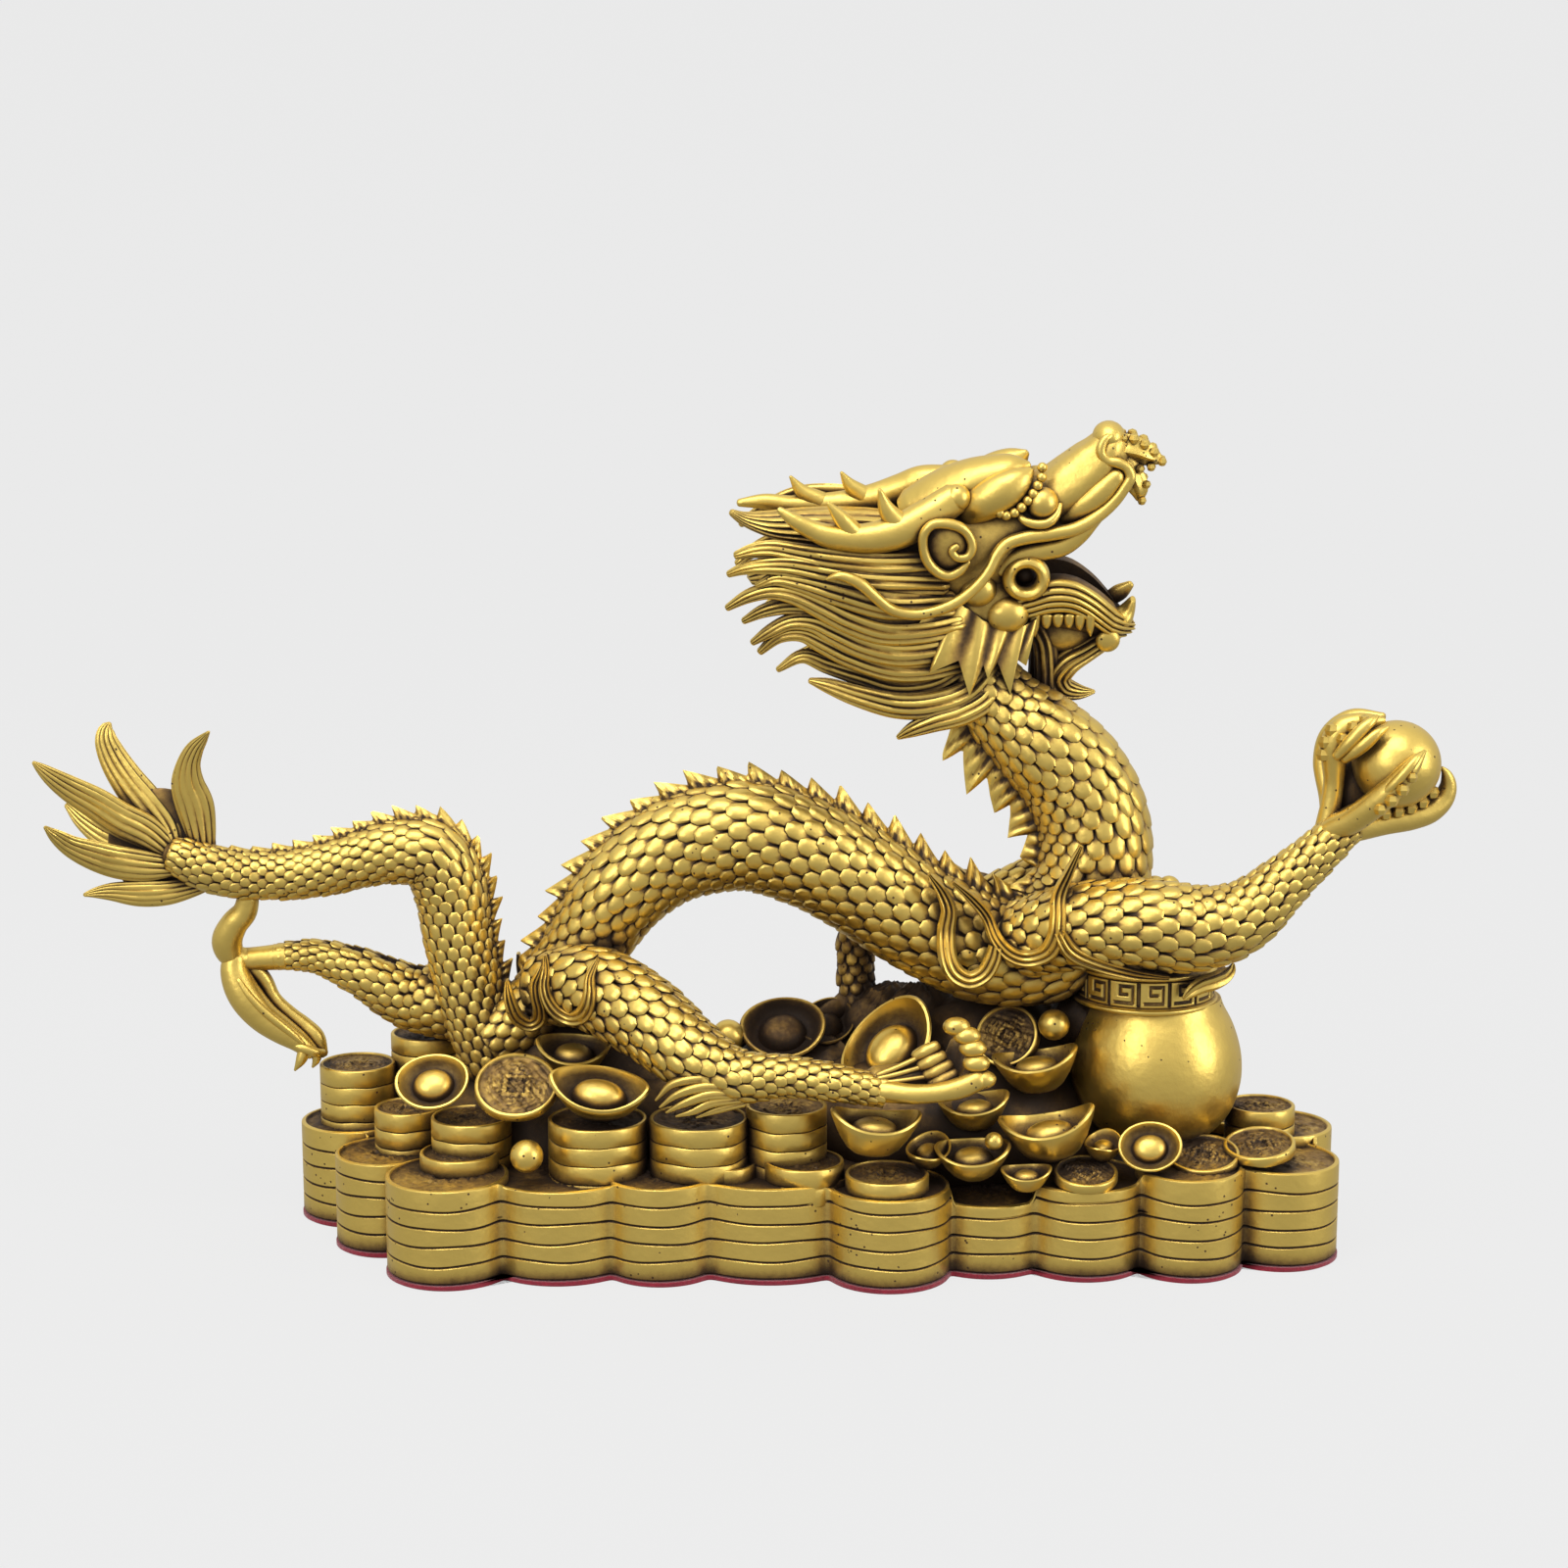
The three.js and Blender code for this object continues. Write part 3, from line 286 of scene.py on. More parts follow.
# The tail fin: the dark knob at its middle, [x, y, z, radius x, radius y, radius z], and its leaves
FIN_WEB = [-169.2, 8.6, 101, 14, 1.4, 14.8]
FIN_LOBES = [
    [
        [-158.3, 8, 100.1, 3.3, 3], [-158.9, 7, 105.7, 2.2, 4.2], [-159.8, 6, 111.8, 1.8, 5],
        [-161.1, 5, 117.6, 1.8, 4.4], [-160.5, 4, 122.9, 1.6, 3.1], [-158.6, 3, 126.9, 1.3, 2.3],
        [-156.4, 2, 129.5, 1, 1.4], [-154.5, 1, 131.6, 0.5, 0.4],
    ],
    [
        [-166.1, 8, 100.8, 3.3, 3.1], [-168.5, 8.4, 105.2, 2.4, 4.8], [-173, 9, 111.4, 2, 5],
        [-178, 10, 117.8, 1.8, 4.5], [-181.6, 11, 123.6, 1.6, 3.8], [-183.3, 11.5, 128.2, 1.3, 2.9],
        [-183.1, 12, 130.9, 1, 1.9], [-182.3, 12, 132.2, 0.5, 0.6],
    ],
    [
        [-167, 7, 100.3, 3, 3], [-172.3, 6, 104.6, 2.4, 4.4], [-178.8, 5, 108.2, 2, 4.6],
        [-184.7, 4, 112.5, 1.8, 4.3], [-190.7, 2.5, 116.6, 1.6, 3.5], [-195.2, 1, 120.2, 1.3, 2.4],
        [-197.9, 0.5, 122.6, 1, 1.3], [-199.2, 0, 123.9, 0.5, 0.5],
    ],
    [
        [-165.9, 6, 95.6, 2.8, 2.5], [-172.3, 4, 96.1, 2.2, 4], [-178.7, 1.5, 97.6, 2, 4.4],
        [-184, -2, 100.1, 1.8, 4], [-188.9, -5, 103, 1.5, 3], [-192.2, -8, 106.4, 1.1, 1.9],
        [-194.3, -10, 109, 0.5, 0.5],
    ],
    [
        [-156.9, 8, 91.3, 2.5, 2], [-161.3, 7, 90, 2, 2.6], [-167.7, 5, 88.9, 1.8, 3.3],
        [-174.5, 3.5, 89, 1.7, 3.4], [-181.3, 2.5, 89.7, 1.4, 2.4], [-185.7, 2, 89.5, 1, 1.3],
        [-188.1, 1.5, 89.1, 0.5, 0.5],
    ],
    [
        [-166.9, 11, 98.5, 2.8, 3.1], [-175.2, 14, 99.5, 2.4, 4.1], [-184.8, 18, 100.8, 1.9, 3.9],
        [-192.5, 21, 104.9, 1.5, 2.6], [-197, 23, 108.7, 1, 1],
    ],
]
# Ribbons that lie on the body, each station [x, z, half width], and how far they stand out of its skin
SHOULDER_RIBBONS = [
    [
        [28.4, 98, 0.5], [31.6, 93.6, 1.5], [33.4, 89, 2], [32.8, 83.6, 2.3], [33, 78, 2.4],
        [35, 73.8, 2.5], [38.6, 72, 2.5], [42, 73.6, 2.4], [44.2, 77.6, 2.2], [45, 81, 1.8],
    ],
    [
        [34.4, 96, 0.5], [39.4, 91.6, 1.3], [42.9, 87.4, 1.5], [45, 82.6, 1.7], [48.4, 79, 2],
        [52.8, 77.6, 2.3], [57.2, 79.6, 2.4], [59.4, 84, 2.3], [60, 89, 2.1], [60.4, 94, 1.9],
        [62.7, 100.2, 1.3], [65.7, 107.4, 0.4],
    ],
    [[60, 86, 1.6], [63, 81, 2.2], [68.6, 77.8, 2.2], [77.9, 75.4, 1.6], [88, 74.4, 0.5]],
]
SHOULDER_OUT = 0.8
HIP_OUT = 1.3
HIP_RIBBONS = [
    [
        [-78.2, 70.2, 0.4], [-77.7, 67.6, 1.2], [-76.8, 64, 1.8], [-75.3, 60.4, 2.1], [-72.6, 58.4, 2.2],
        [-70.3, 59.9, 2.1], [-69.8, 63.3, 1.8], [-70.5, 66.6, 1.6], [-70.7, 69.7, 1.5], [-69.7, 72.3, 1.1],
        [-68.9, 74.8, 0.5],
    ],
    [
        [-68.5, 76.5, 0.5], [-68.1, 73.2, 1.2], [-68.4, 69.7, 1.6], [-67.4, 66.1, 1.9], [-65, 63, 2.2],
        [-61.8, 61.7, 2.3], [-58.8, 63.3, 2.2], [-57, 66.6, 2], [-56.4, 70.2, 1.7], [-56.4, 73.5, 1.3],
        [-55.4, 76, 0.8], [-54.4, 77.8, 0.3],
    ],
]

# Lines of the head, in its own frame, before it leans by SKULL_ROLL; y is minus on the shown side
SKULL_ROLL = np.radians(14)
SKULL_PIVOT_Z = 170
# The skull, the two leaves at the end of the nose, the nose and the ridges on the snout
SKULL = [
    [17, 0, 172, 12, 11], [29, 0, 176, 13, 15], [41, 0, 181, 12.6, 14.6], [50, 0, 187.4, 10.4, 9.8],
    [57.6, 0, 192, 9, 7.4], [65, 0, 196.6, 8.2, 7.8], [70, 0, 201.6, 7.2, 7], [73, 0, 206.4, 5.6, 5],
]
NOSE_LEAVES = [
    [[73, 0, 205.4, 3.4, 3.6], [78, 0, 204.8, 3.6, 3.4], [82, 0, 203.4, 3, 2.6], [84.8, 0, 202, 1.4, 1.2]],
    [
        [75, -1, 202, 3, 3], [78.2, -1.4, 198.6, 2.4, 2.6], [79.8, -2, 195, 1.8, 2.2],
        [80.2, -2, 192.4, 0.8, 0.9],
    ],
]
# Ragged knobs on the edges of the nose leaves, each [x, y, z, radius]
NOSE_KNOBS = [
    [75.4, -2, 208.2, 1.3], [78, -2, 208, 1.4], [80.8, -2, 206.6, 1.4], [83.2, -2, 204.6, 1.3],
    [85.4, -1, 201.8, 1.2], [82.6, -2, 200.8, 1.2], [79.8, -3, 200.6, 1.2], [77, -3.6, 196.4, 1.2],
    [81.6, -3, 196.6, 1.1], [80.6, -3, 192.4, 1.2],
]
NOSE = [72, 0, 208.2, 4, 5, 3.6]
SNOUT_RIDGE = [
    [61, -6, 188.6, 1.6, 1.6], [65, -6.8, 191.4, 2.4, 3], [69.6, -6.6, 195.4, 3, 3.2],
    [74, -5.6, 199.8, 2.6, 2.4],
]
# The mouth: the upper lip, the edges and the floor of the jaw, its curled tip and the flap behind that,
# and what fills the throat, [x, y, z, radius x, radius y, radius z]
UPPER_LIP = [
    [45.5, -10, 176, 1, 1.4], [47.6, -10.4, 178.8, 1.4, 2], [51, -10.4, 180.8, 1.6, 2.3],
    [56, -10, 181.6, 1.6, 2.4], [60.8, -9.6, 182.6, 1.5, 2.4], [64.8, -9.2, 185.4, 1.4, 2.2],
    [68, -8.6, 188.8, 1.3, 1.8], [72, -7.6, 192.6, 1, 1],
]
JAW_UPPER_EDGE = [
    [50, -9.6, 171, 1], [54.4, -9.6, 173, 1], [59.2, -9.4, 174.2, 1], [64.5, -9, 173.4, 1],
    [69.9, -8, 170.1, 1], [74.1, -6, 166.1, 1], [77.6, -2.6, 162, 1], [79, 0, 160.4, 1],
]
JAW_LOWER_EDGE = [
    [49, -9.4, 163, 1], [53, -9.4, 163.6, 1], [58, -9.4, 165, 1], [63, -9, 165, 1], [67, -8.4, 163.2, 1],
    [71, -7.2, 160, 1], [75, -4.4, 156.6, 1], [77, 0, 155, 1],
]
JAW_FLOOR = [[46, 0, 163, 9, 4], [58, 0, 164, 8.4, 5], [67, 0, 161.5, 7, 4.4], [75, 0, 158, 4, 2.6]]
JAW_TIP = [
    [74, 0, 158, 5, 4], [77.4, 0, 160.4, 4.2, 3], [79, 0, 162.6, 3.2, 1.9], [79.8, -1, 165.2, 1.8, 1],
]
JAW_FLAP = [[74.6, 5, 163.6, 1.6, 2], [77.4, 4, 166, 1.6, 2.2], [79.8, 3, 168.4, 0.8, 1]]
MOUTH_FILL = [62, 0, 157.6, 9, 5.4, 6.4]
CHIN_KNOB = [73.6, -5.6, 156.4, 3.1, 1.6, 3.1]
# Teeth hanging from the jaw's lower edge, each [x, z of the tip, half width]
FRINGE = [
    [54.6, 157.4, 1.7], [57.6, 159.6, 1.6], [60.5, 160, 1.6], [63.3, 159.8, 1.5], [66, 159.2, 1.5],
    [68.6, 157.6, 1.4],
]
# The beard under the chin, and the strands down the throat
BEARD = [
    [75, 0, 156.6, 5, 3], [69, 0, 152.6, 5.8, 3.4], [63.6, 0, 149, 6, 4.2], [61.4, 0, 145, 5.4, 4.2],
    [63.4, 0, 141.6, 4.6, 3], [67.4, 0, 140.2, 2.8, 2], [71.4, 0, 140.2, 0.6, 0.6],
]
THROAT = [
    [52, 0, 165, 7, 5], [57.5, 0, 156, 6, 4], [58.5, 0, 149, 6, 4.2], [58.8, 0, 142, 6, 4.4],
    [61, 0, 133, 6, 5],
]
# The brow, the beads along it, each [x, y, z], and the crown between the antlers
BROW = [
    [36.6, -7.6, 190.6, 3, 3.6], [41.4, -8.6, 194, 4.4, 4.8], [46.4, -8.6, 197, 4.6, 4.8],
    [50.4, -8, 199.8, 3, 3.2], [52.6, -7.4, 201.6, 0.8, 1],
]
BROW_BEADS = [
    [55.2, -7.6, 202.4], [55, -8.6, 200.2], [54, -9.6, 198.4], [52.9, -10.4, 196.6], [51.6, -11, 195],
    [50.1, -11.6, 193.5], [48.4, -11.8, 192.2], [46.5, -11.8, 191.5], [44.9, -11.4, 192],
]
BEAD_RADIUS = 1.25
CROWN = [
    [24, 0, 189.5, 6, 5], [31, -0.6, 193.6, 7.4, 5.6], [38, -1.6, 197, 7.4, 5.4], [44, -2.4, 199, 6.4, 4.8],
    [49, -2.6, 200.6, 4.4, 3.6], [52.2, -2.6, 201.4, 1.2, 1.2],
]
# The antlers and their tines, with the knob at each foot, [x, y, z, radius]
ANTLER_KNOB = [34.4, -10, 195.4, 3.4]
ANTLER = [
    [34, -9, 195, 4], [26.6, -11.6, 190.8, 4.4], [19.7, -13.6, 187.8, 4.3], [12.9, -14.8, 186.6, 3.9],
    [7.9, -15.4, 186.7, 3.5], [2.8, -16, 187.6, 3], [-1.5, -16, 189.3, 2.4], [-5.6, -16, 191.6, 1.8],
    [-9.2, -15.5, 194.2, 0.8],
]
FAR_ANTLER = [
    [33, 7, 194, 4.4], [26.6, 8, 193.6, 4.3], [21.7, 9, 191.6, 4], [15, 10, 189, 3.7], [8, 11, 187.4, 3.2],
    [1, 11.4, 186.6, 2.9], [-6.2, 11, 186.6, 2.5], [-13, 10.4, 187.8, 2], [-19.4, 10, 187.6, 1],
]
TINES = [
    [[20.6, -13.4, 189, 3.4], [17.2, -13.8, 193.4, 2.2], [15.2, -14, 198.8, 0.5]],
    [[9, -15.4, 188, 2.8], [5.6, -15.8, 192.4, 1.9], [2.7, -16, 196, 0.5]],
    [[12, 9.8, 189.4, 2.8], [8.6, 9.6, 192.4, 1.8], [6.4, 9.4, 195.8, 0.4]],
    [[1, 11.4, 187.4, 2.8], [-3.4, 11.2, 190.2, 1.9], [-6.4, 11, 194.2, 0.4]],
]
# The ear's hollow, [x, y, z, radius x, radius y, radius z], and the rim that curls round it
EAR = [31.8, -14.6, 184.6, 5.6, 2.4, 6.2]
EAR_RIM = [
    [34.3, -17, 185.4, 0.8], [33, -17, 184.2, 1], [34.3, -17, 182.4, 1], [36.9, -16.8, 182.5, 1.1],
    [38, -16.4, 184.9, 1.2], [37.1, -16.2, 187.8, 1.2], [35, -16.4, 189.9, 1.3], [31.6, -16.8, 191, 1.3],
    [28, -17.4, 190.9, 1.2], [26.1, -17.6, 188.7, 1.2], [26, -17.6, 184.9, 1.2], [27.4, -17.4, 181.1, 1.3],
    [30, -17, 178.4, 1.3], [32.6, -16.6, 177.5, 1.3], [35, -16.2, 178.5, 1.2], [37.2, -15.8, 180.9, 0.7],
]
# The whisker, from the nose along the lip and back past the cheek
MUSTACHE = [
    [73.2, -3.4, 209.2, 0.6], [71.2, -4.2, 209, 1], [69.8, -5, 207.2, 1.2], [69.8, -5.6, 205, 1.2],
    [71.4, -6, 203.6, 1.2], [73.8, -6.4, 203.2, 1.3], [76, -6.6, 202, 1.3], [77, -7, 199.8, 1.4],
    [75.9, -7.4, 197.6, 1.4], [73.2, -8, 193.8, 1.5], [68.9, -9.2, 190.2, 1.6], [63.8, -10.4, 187.6, 1.7],
    [57.7, -11.4, 186.6, 1.7], [51.2, -12.6, 186, 1.7], [46.8, -13.6, 184.8, 1.6],
    [44.4, -14.8, 182.6, 1.5], [42.4, -16.2, 179, 1.4], [39.7, -17.4, 175.6, 1.4], [34.9, -19, 171.9, 1.4],
    [29.7, -20.4, 169.9, 1.4], [24, -21.4, 169.2, 1.4], [18.5, -22, 170.6, 1.4], [14.4, -22.4, 174, 1.4],
    [10.6, -22.6, 177.6, 1.5], [5.6, -22.4, 179.6, 1.1], [2.4, -22, 178.6, 0.4],
]
# Cheeks, each [x, y, z, radius x, radius y, radius z], and the ring at the corner of the mouth, whose
# sizes are its radius, its thickness and its depth
CHEEK_BASE = [41, -6, 166, 13, 6, 10]
CHEEKS = [[40, -9.6, 171.6, 5, 4.4, 4.6], [47.4, -9.4, 165, 5.8, 4.8, 5]]
MOUTH_CORNER = [51.9, -10.8, 175]
MOUTH_RING = [4.3, 1.7, 2.5]
# The eye, [x, y, z, radius], and its lid
EYE = [55.4, -8.8, 193.6, 4.1]
EYELID = [
    [49.4, -10.6, 191.6, 0.6], [50.8, -11.6, 190.2, 1], [53.4, -12.2, 189.4, 1.2],
    [56.6, -12.2, 189.7, 1.2], [58.8, -11, 191.4, 1], [59.8, -9.4, 193.6, 0.6],
]
# The ragged sheet behind the jaw: points [x, y, z] along its root, and of its zigzag edge opposite them
FRILL_ROOT = [
    [31, -12, 173], [34, -12, 171], [36.6, -12, 168], [39, -12, 166.4], [41.4, -12, 164.4], [44, -12, 163],
    [46.6, -12, 162], [49, -11.6, 162], [51.4, -11, 162.4], [53.6, -10.4, 163], [55, -10, 164],
]
FRILL_EDGE = [
    [24, -18.4, 164], [30, -16.4, 160], [28, -19.4, 153], [35.4, -17, 155.4], [38.2, -19, 146.6],
    [41.6, -16.4, 154], [42.8, -17.4, 150.4], [45.2, -15.4, 154.4], [48.6, -16.4, 146], [50, -14, 154.6],
    [52.6, -13, 152.4],
]
# The mane: locks on the shown side, locks on the far side, and broad ones along the middle
LOCKS = [
    [
        [31, -11, 178.8, 3.4, 3.4], [14.7, -15, 179.6, 3.2, 3.8], [4.6, -16, 181, 3, 3.6],
        [-3.9, -16, 182.6, 2.6, 3], [-11.3, -15.5, 183.9, 2.2, 2.4], [-15.7, -15, 183.4, 1.8, 1.9],
        [-19.8, -15, 182.2, 1, 1.1],
    ],
    [
        [31, -12, 174, 3.4, 3.4], [11.3, -17, 176.4, 3.2, 3.6], [1.2, -17.6, 178.6, 2.8, 3.2],
        [-7.2, -17.4, 180.2, 2.4, 2.6], [-14, -16.8, 180, 2, 2], [-18.4, -16, 179, 1.6, 1.5],
        [-21.6, -15.6, 177.6, 0.9, 0.9],
    ],
    [
        [33, -12, 168.6, 3.4, 3.6], [18, -17.4, 170, 3.2, 4], [6, -18.6, 173.6, 2.8, 3.6],
        [-4, -18, 176.4, 2.2, 2.6], [-10, -17.2, 177, 1.7, 1.9], [-14.6, -16.6, 175, 0.9, 0.9],
    ],
    [
        [35, -12, 163.4, 3.4, 3.6], [26.8, -15.5, 163, 3.4, 3.8], [16.6, -17.2, 163.4, 3.2, 4],
        [8.1, -17.8, 166.5, 3, 3.8], [1.2, -17.6, 170.1, 2.8, 3.4], [-5.5, -17, 173, 2.4, 2.8],
        [-11.3, -16.4, 173.6, 2, 2.3], [-16.8, -16, 172, 1.7, 1.8], [-22, -15.6, 168.8, 0.9, 0.9],
    ],
    [
        [12, -13, 164, 2.8, 3], [3, -14.4, 167.8, 2.6, 3], [-6.2, -14.4, 169, 2.2, 2.4],
        [-13, -14, 167.4, 1.8, 1.8], [-18, -13.6, 164.6, 0.9, 0.9],
    ],
    [
        [34, -12, 158, 3.4, 3.6], [28.7, -14.6, 157.4, 3.4, 3.8], [20.2, -16.2, 157.2, 3.2, 4],
        [11.6, -16.6, 159.4, 3, 3.8], [4.7, -16.4, 162.6, 2.6, 3.3], [-0.8, -15.8, 165, 2.3, 2.7],
        [-6.2, -15.2, 165, 2, 2.2], [-11.3, -14.8, 162.4, 1.7, 1.8], [-15.8, -14.4, 159.2, 0.9, 0.9],
    ],
    [
        [36, -11.6, 153.4, 3.4, 3.6], [27, -14.2, 152.2, 3.2, 3.7], [18.5, -15.6, 152.8, 3, 3.6],
        [8.2, -15.4, 156.2, 2.8, 3.2], [1.3, -15, 159.6, 2.4, 2.8], [-3.5, -14.4, 161.6, 2.1, 2.3],
        [-9, -14, 160.8, 1.8, 1.9], [-14, -13.6, 156.4, 0.9, 1],
    ],
    [
        [39, -10, 154, 3.2, 3.4], [30, -12, 148.6, 3.2, 3.4], [20, -13, 147.6, 3, 3.2],
        [11.8, -13, 149.9, 2.7, 3], [2.9, -13, 152.8, 2.2, 2.5], [-3.3, -13, 155, 1.8, 1.9],
        [-9.5, -13, 151.4, 0.8, 0.8],
    ],
    [
        [46, -10, 153, 3, 3.2], [38.4, -14, 145.8, 3.2, 3.4], [29.5, -16, 143.2, 3.2, 3.6],
        [20.6, -17, 143.2, 3, 3.4], [10, -17, 146, 2.4, 2.8], [2.9, -16, 148.3, 1.8, 2],
        [-1.5, -15.4, 149.4, 0.8, 0.8],
    ],
    [
        [47, -10, 149, 2.6, 2.8], [42.9, -14.4, 144, 3, 3.2], [36.6, -16.6, 141, 3, 3.2],
        [29.5, -17.6, 139.2, 2.6, 2.8], [24.2, -17.6, 137, 1.9, 2], [20.7, -17, 134.7, 0.7, 0.7],
    ],
]
FAR_LOCKS = [
    [
        [30, 10, 178, 4, 5.6], [12, 15, 184, 3.4, 6], [-4, 15.5, 186, 2.8, 4.4], [-13, 14, 184, 2, 2.4],
        [-19, 13, 181, 1, 1],
    ],
    [
        [30, 11, 167, 4, 5.6], [12, 16.5, 170, 3.4, 6], [-4, 16.5, 175, 2.8, 4.4], [-14, 15, 174, 2, 2.2],
        [-20, 14, 170, 1, 1],
    ],
    [
        [32, 9, 157, 4, 5.6], [14, 13.5, 158, 3.4, 5.6], [0, 13, 162, 2.8, 4], [-9, 12, 161, 1.9, 2],
        [-14, 11, 157.6, 1, 1],
    ],
    [[38, 7, 149, 4, 5], [22, 11, 147, 3.2, 4.8], [8, 11, 149.5, 2.6, 3.6], [-4, 9.5, 147, 1, 1]],
]
CREST_LOCKS = [
    [
        [24, 0, 182, 8, 6], [10, 0, 184, 10, 5], [-2, 0, 185, 9, 4], [-12, 0, 185.4, 6.4, 2.8],
        [-18, -1, 187, 3, 1.6], [-21, -2, 189, 1, 0.9],
    ],
    [[22, 0, 172, 10, 10], [8, 0, 174, 12, 9], [-5, 0, 175, 9, 7], [-15, 0, 172, 4, 3]],
    [[26, 0, 158, 9, 9], [12, 0, 158, 10, 8], [0, 0, 160, 7, 5], [-8, 0, 158, 3, 2]],
]

# Columns of a path's table: its middle, its three directions, its half width and height, and one more
MIDDLE, ALONG, SIDE, OVER = slice(0, 3), slice(3, 6), slice(6, 9), slice(9, 12)
WIDE, HIGH, EXTRA = 12, 13, 14
LEAST_WIDTH = 0.15


class Path:
    """A smooth line through stations [x, y, z, half width, half height]; without a half height it is
    round. Every column is a centripetal Catmull-Rom curve of the stations, and lengths are measured along
    it. Across it lie side, which is level and points away from the shown side, and over, which points
    up."""

    def __init__(self, stations, extra=None, finer=14):
        rows = np.array([[*r, r[3]] if len(r) == 4 else r for r in stations], float)
        if extra is not None:
            rows = np.column_stack([rows, extra])
        ends = np.vstack([2 * rows[0] - rows[1], rows, 2 * rows[-1] - rows[-2]])
        gap = np.linalg.norm(np.diff(ends[:, :3], axis=0), axis=1)[:, None] ** 0.5
        p0, p1, p2, p3 = (ends[i : len(ends) - 3 + i, None] for i in range(4))
        d0, d1, d2 = (gap[i : len(gap) - 2 + i, None] for i in range(3))
        m1 = d1 * ((p1 - p0) / d0 - (p2 - p0) / (d0 + d1) + (p2 - p1) / d1)
        m2 = d1 * ((p2 - p1) / d1 - (p3 - p1) / (d1 + d2) + (p3 - p2) / d2)
        t = (np.arange(finer) / finer)[None, :, None]
        curve = (
            (2 * t**3 - 3 * t**2 + 1) * p1 + (t**3 - 2 * t**2 + t) * m1
            + (3 * t**2 - 2 * t**3) * p2 + (t**3 - t**2) * m2
        )
        data = np.vstack([curve.reshape(-1, rows.shape[1]), rows[-1]])
        data[:, 3:] = np.maximum(data[:, 3:], LEAST_WIDTH)
        steps = np.linalg.norm(np.diff(data[:, :3], axis=0), axis=1)
        self.s = np.concatenate([[0], np.cumsum(steps)])
        self.length = self.s[-1]
        along = np.gradient(data[:, :3], self.s, axis=0)
        along /= np.linalg.norm(along, axis=1)[:, None]
        side = np.array([0, 1, 0]) - along * along[:, 1:2]
        side /= np.linalg.norm(side, axis=1)[:, None]
        self.table = np.hstack([data[:, :3], along, side, np.cross(along, side), data[:, 3:]])

    def at(self, s):
        """The row of the table at length s, on a straight line between its two neighbours."""
        s = np.clip(s, 0, self.length)
        i = np.clip(np.searchsorted(self.s, s) - 1, 0, len(self.s) - 2)
        f = ((s - self.s[i]) / (self.s[i + 1] - self.s[i]))[..., None]
        return self.table[i] * (1 - f) + self.table[i + 1] * f

    def surface(self, s, angle, lift=0.0, swell=1.0):
        """middle + side * width * cos(angle) + over * height * sin(angle), raised by lift along the
        normal."""
        v = self.at(s)
        cos, sin = np.cos(angle), np.sin(angle)
        wide, high = v[..., WIDE], v[..., HIGH]
        nx, ny = cos * high, sin * wide
        n = np.hypot(nx, ny)
        x = wide * swell * cos + lift * nx / n
        y = high * swell * sin + lift * ny / n
        return v[..., MIDDLE] + v[..., SIDE] * x[..., None] + v[..., OVER] * y[..., None]


class Shell:
    """Points in millimetres, four-sided and three-sided faces, and how dark the patina and painted shade lie
    on each point."""

    def __init__(self, points, quads, tris=None, patina=0.0):
        self.points = np.asarray(points, float).reshape(-1, 3)
        self.quads = np.asarray(quads, int).reshape(-1, 4)
        self.tris = np.zeros((0, 3), int) if tris is None else np.asarray(tris, int).reshape(-1, 3)
        self.patina = np.broadcast_to(np.asarray(patina, float), (len(self.points),)).copy()

    def moved(self, change):
        """The same shell with each point where change puts it."""
        return Shell(change(self.points), self.quads, self.tris, self.patina)


def lattice(rows, cols):
    """Quads of a grid that closes round its columns, with the outside on the left of each row."""
    r, c = np.meshgrid(np.arange(rows - 1), np.arange(cols), indexing="ij")
    d = (c + 1) % cols
    return np.stack([r * cols + c, r * cols + d, (r + 1) * cols + d, (r + 1) * cols + c], -1).reshape(-1, 4)


def closed(grid, first, last, patina):
    """A closed shell from rings of points, with a point closing each end. Its faces are turned outwards,
    which is where the sum of corner . (corner x corner) over its triangles, six times the volume, is
    positive."""
    rows, cols = grid.shape[:2]
    k = np.arange(cols)
    n = (k + 1) % cols
    end = (rows - 1) * cols
    tris = np.vstack([
        np.stack([np.full(cols, rows * cols), n, k], -1),
        np.stack([np.full(cols, rows * cols + 1), end + k, end + n], -1),
    ])
    points = np.vstack([grid.reshape(-1, 3), first, last])
    dark = np.broadcast_to(patina, (rows, cols))
    quads = lattice(rows, cols)
    corner = points[np.vstack([tris, quads[:, :3], quads[:, [0, 2, 3]]])] - points.mean(0)
    if np.einsum("ij,ij->", corner[:, 0], np.cross(corner[:, 1], corner[:, 2])) < 0:
        quads, tris = quads[:, ::-1], tris[:, ::-1]
    return Shell(points, quads, tris, np.concatenate([dark.ravel(), [dark[0, 0], dark[-1, 0]]]))


# The rounded cap of a tube: its ring's share of the width, and how far its ring and its tip reach
CAP_WIDTH, CAP_REACH, TIP_REACH = 0.72, 0.4, 0.62


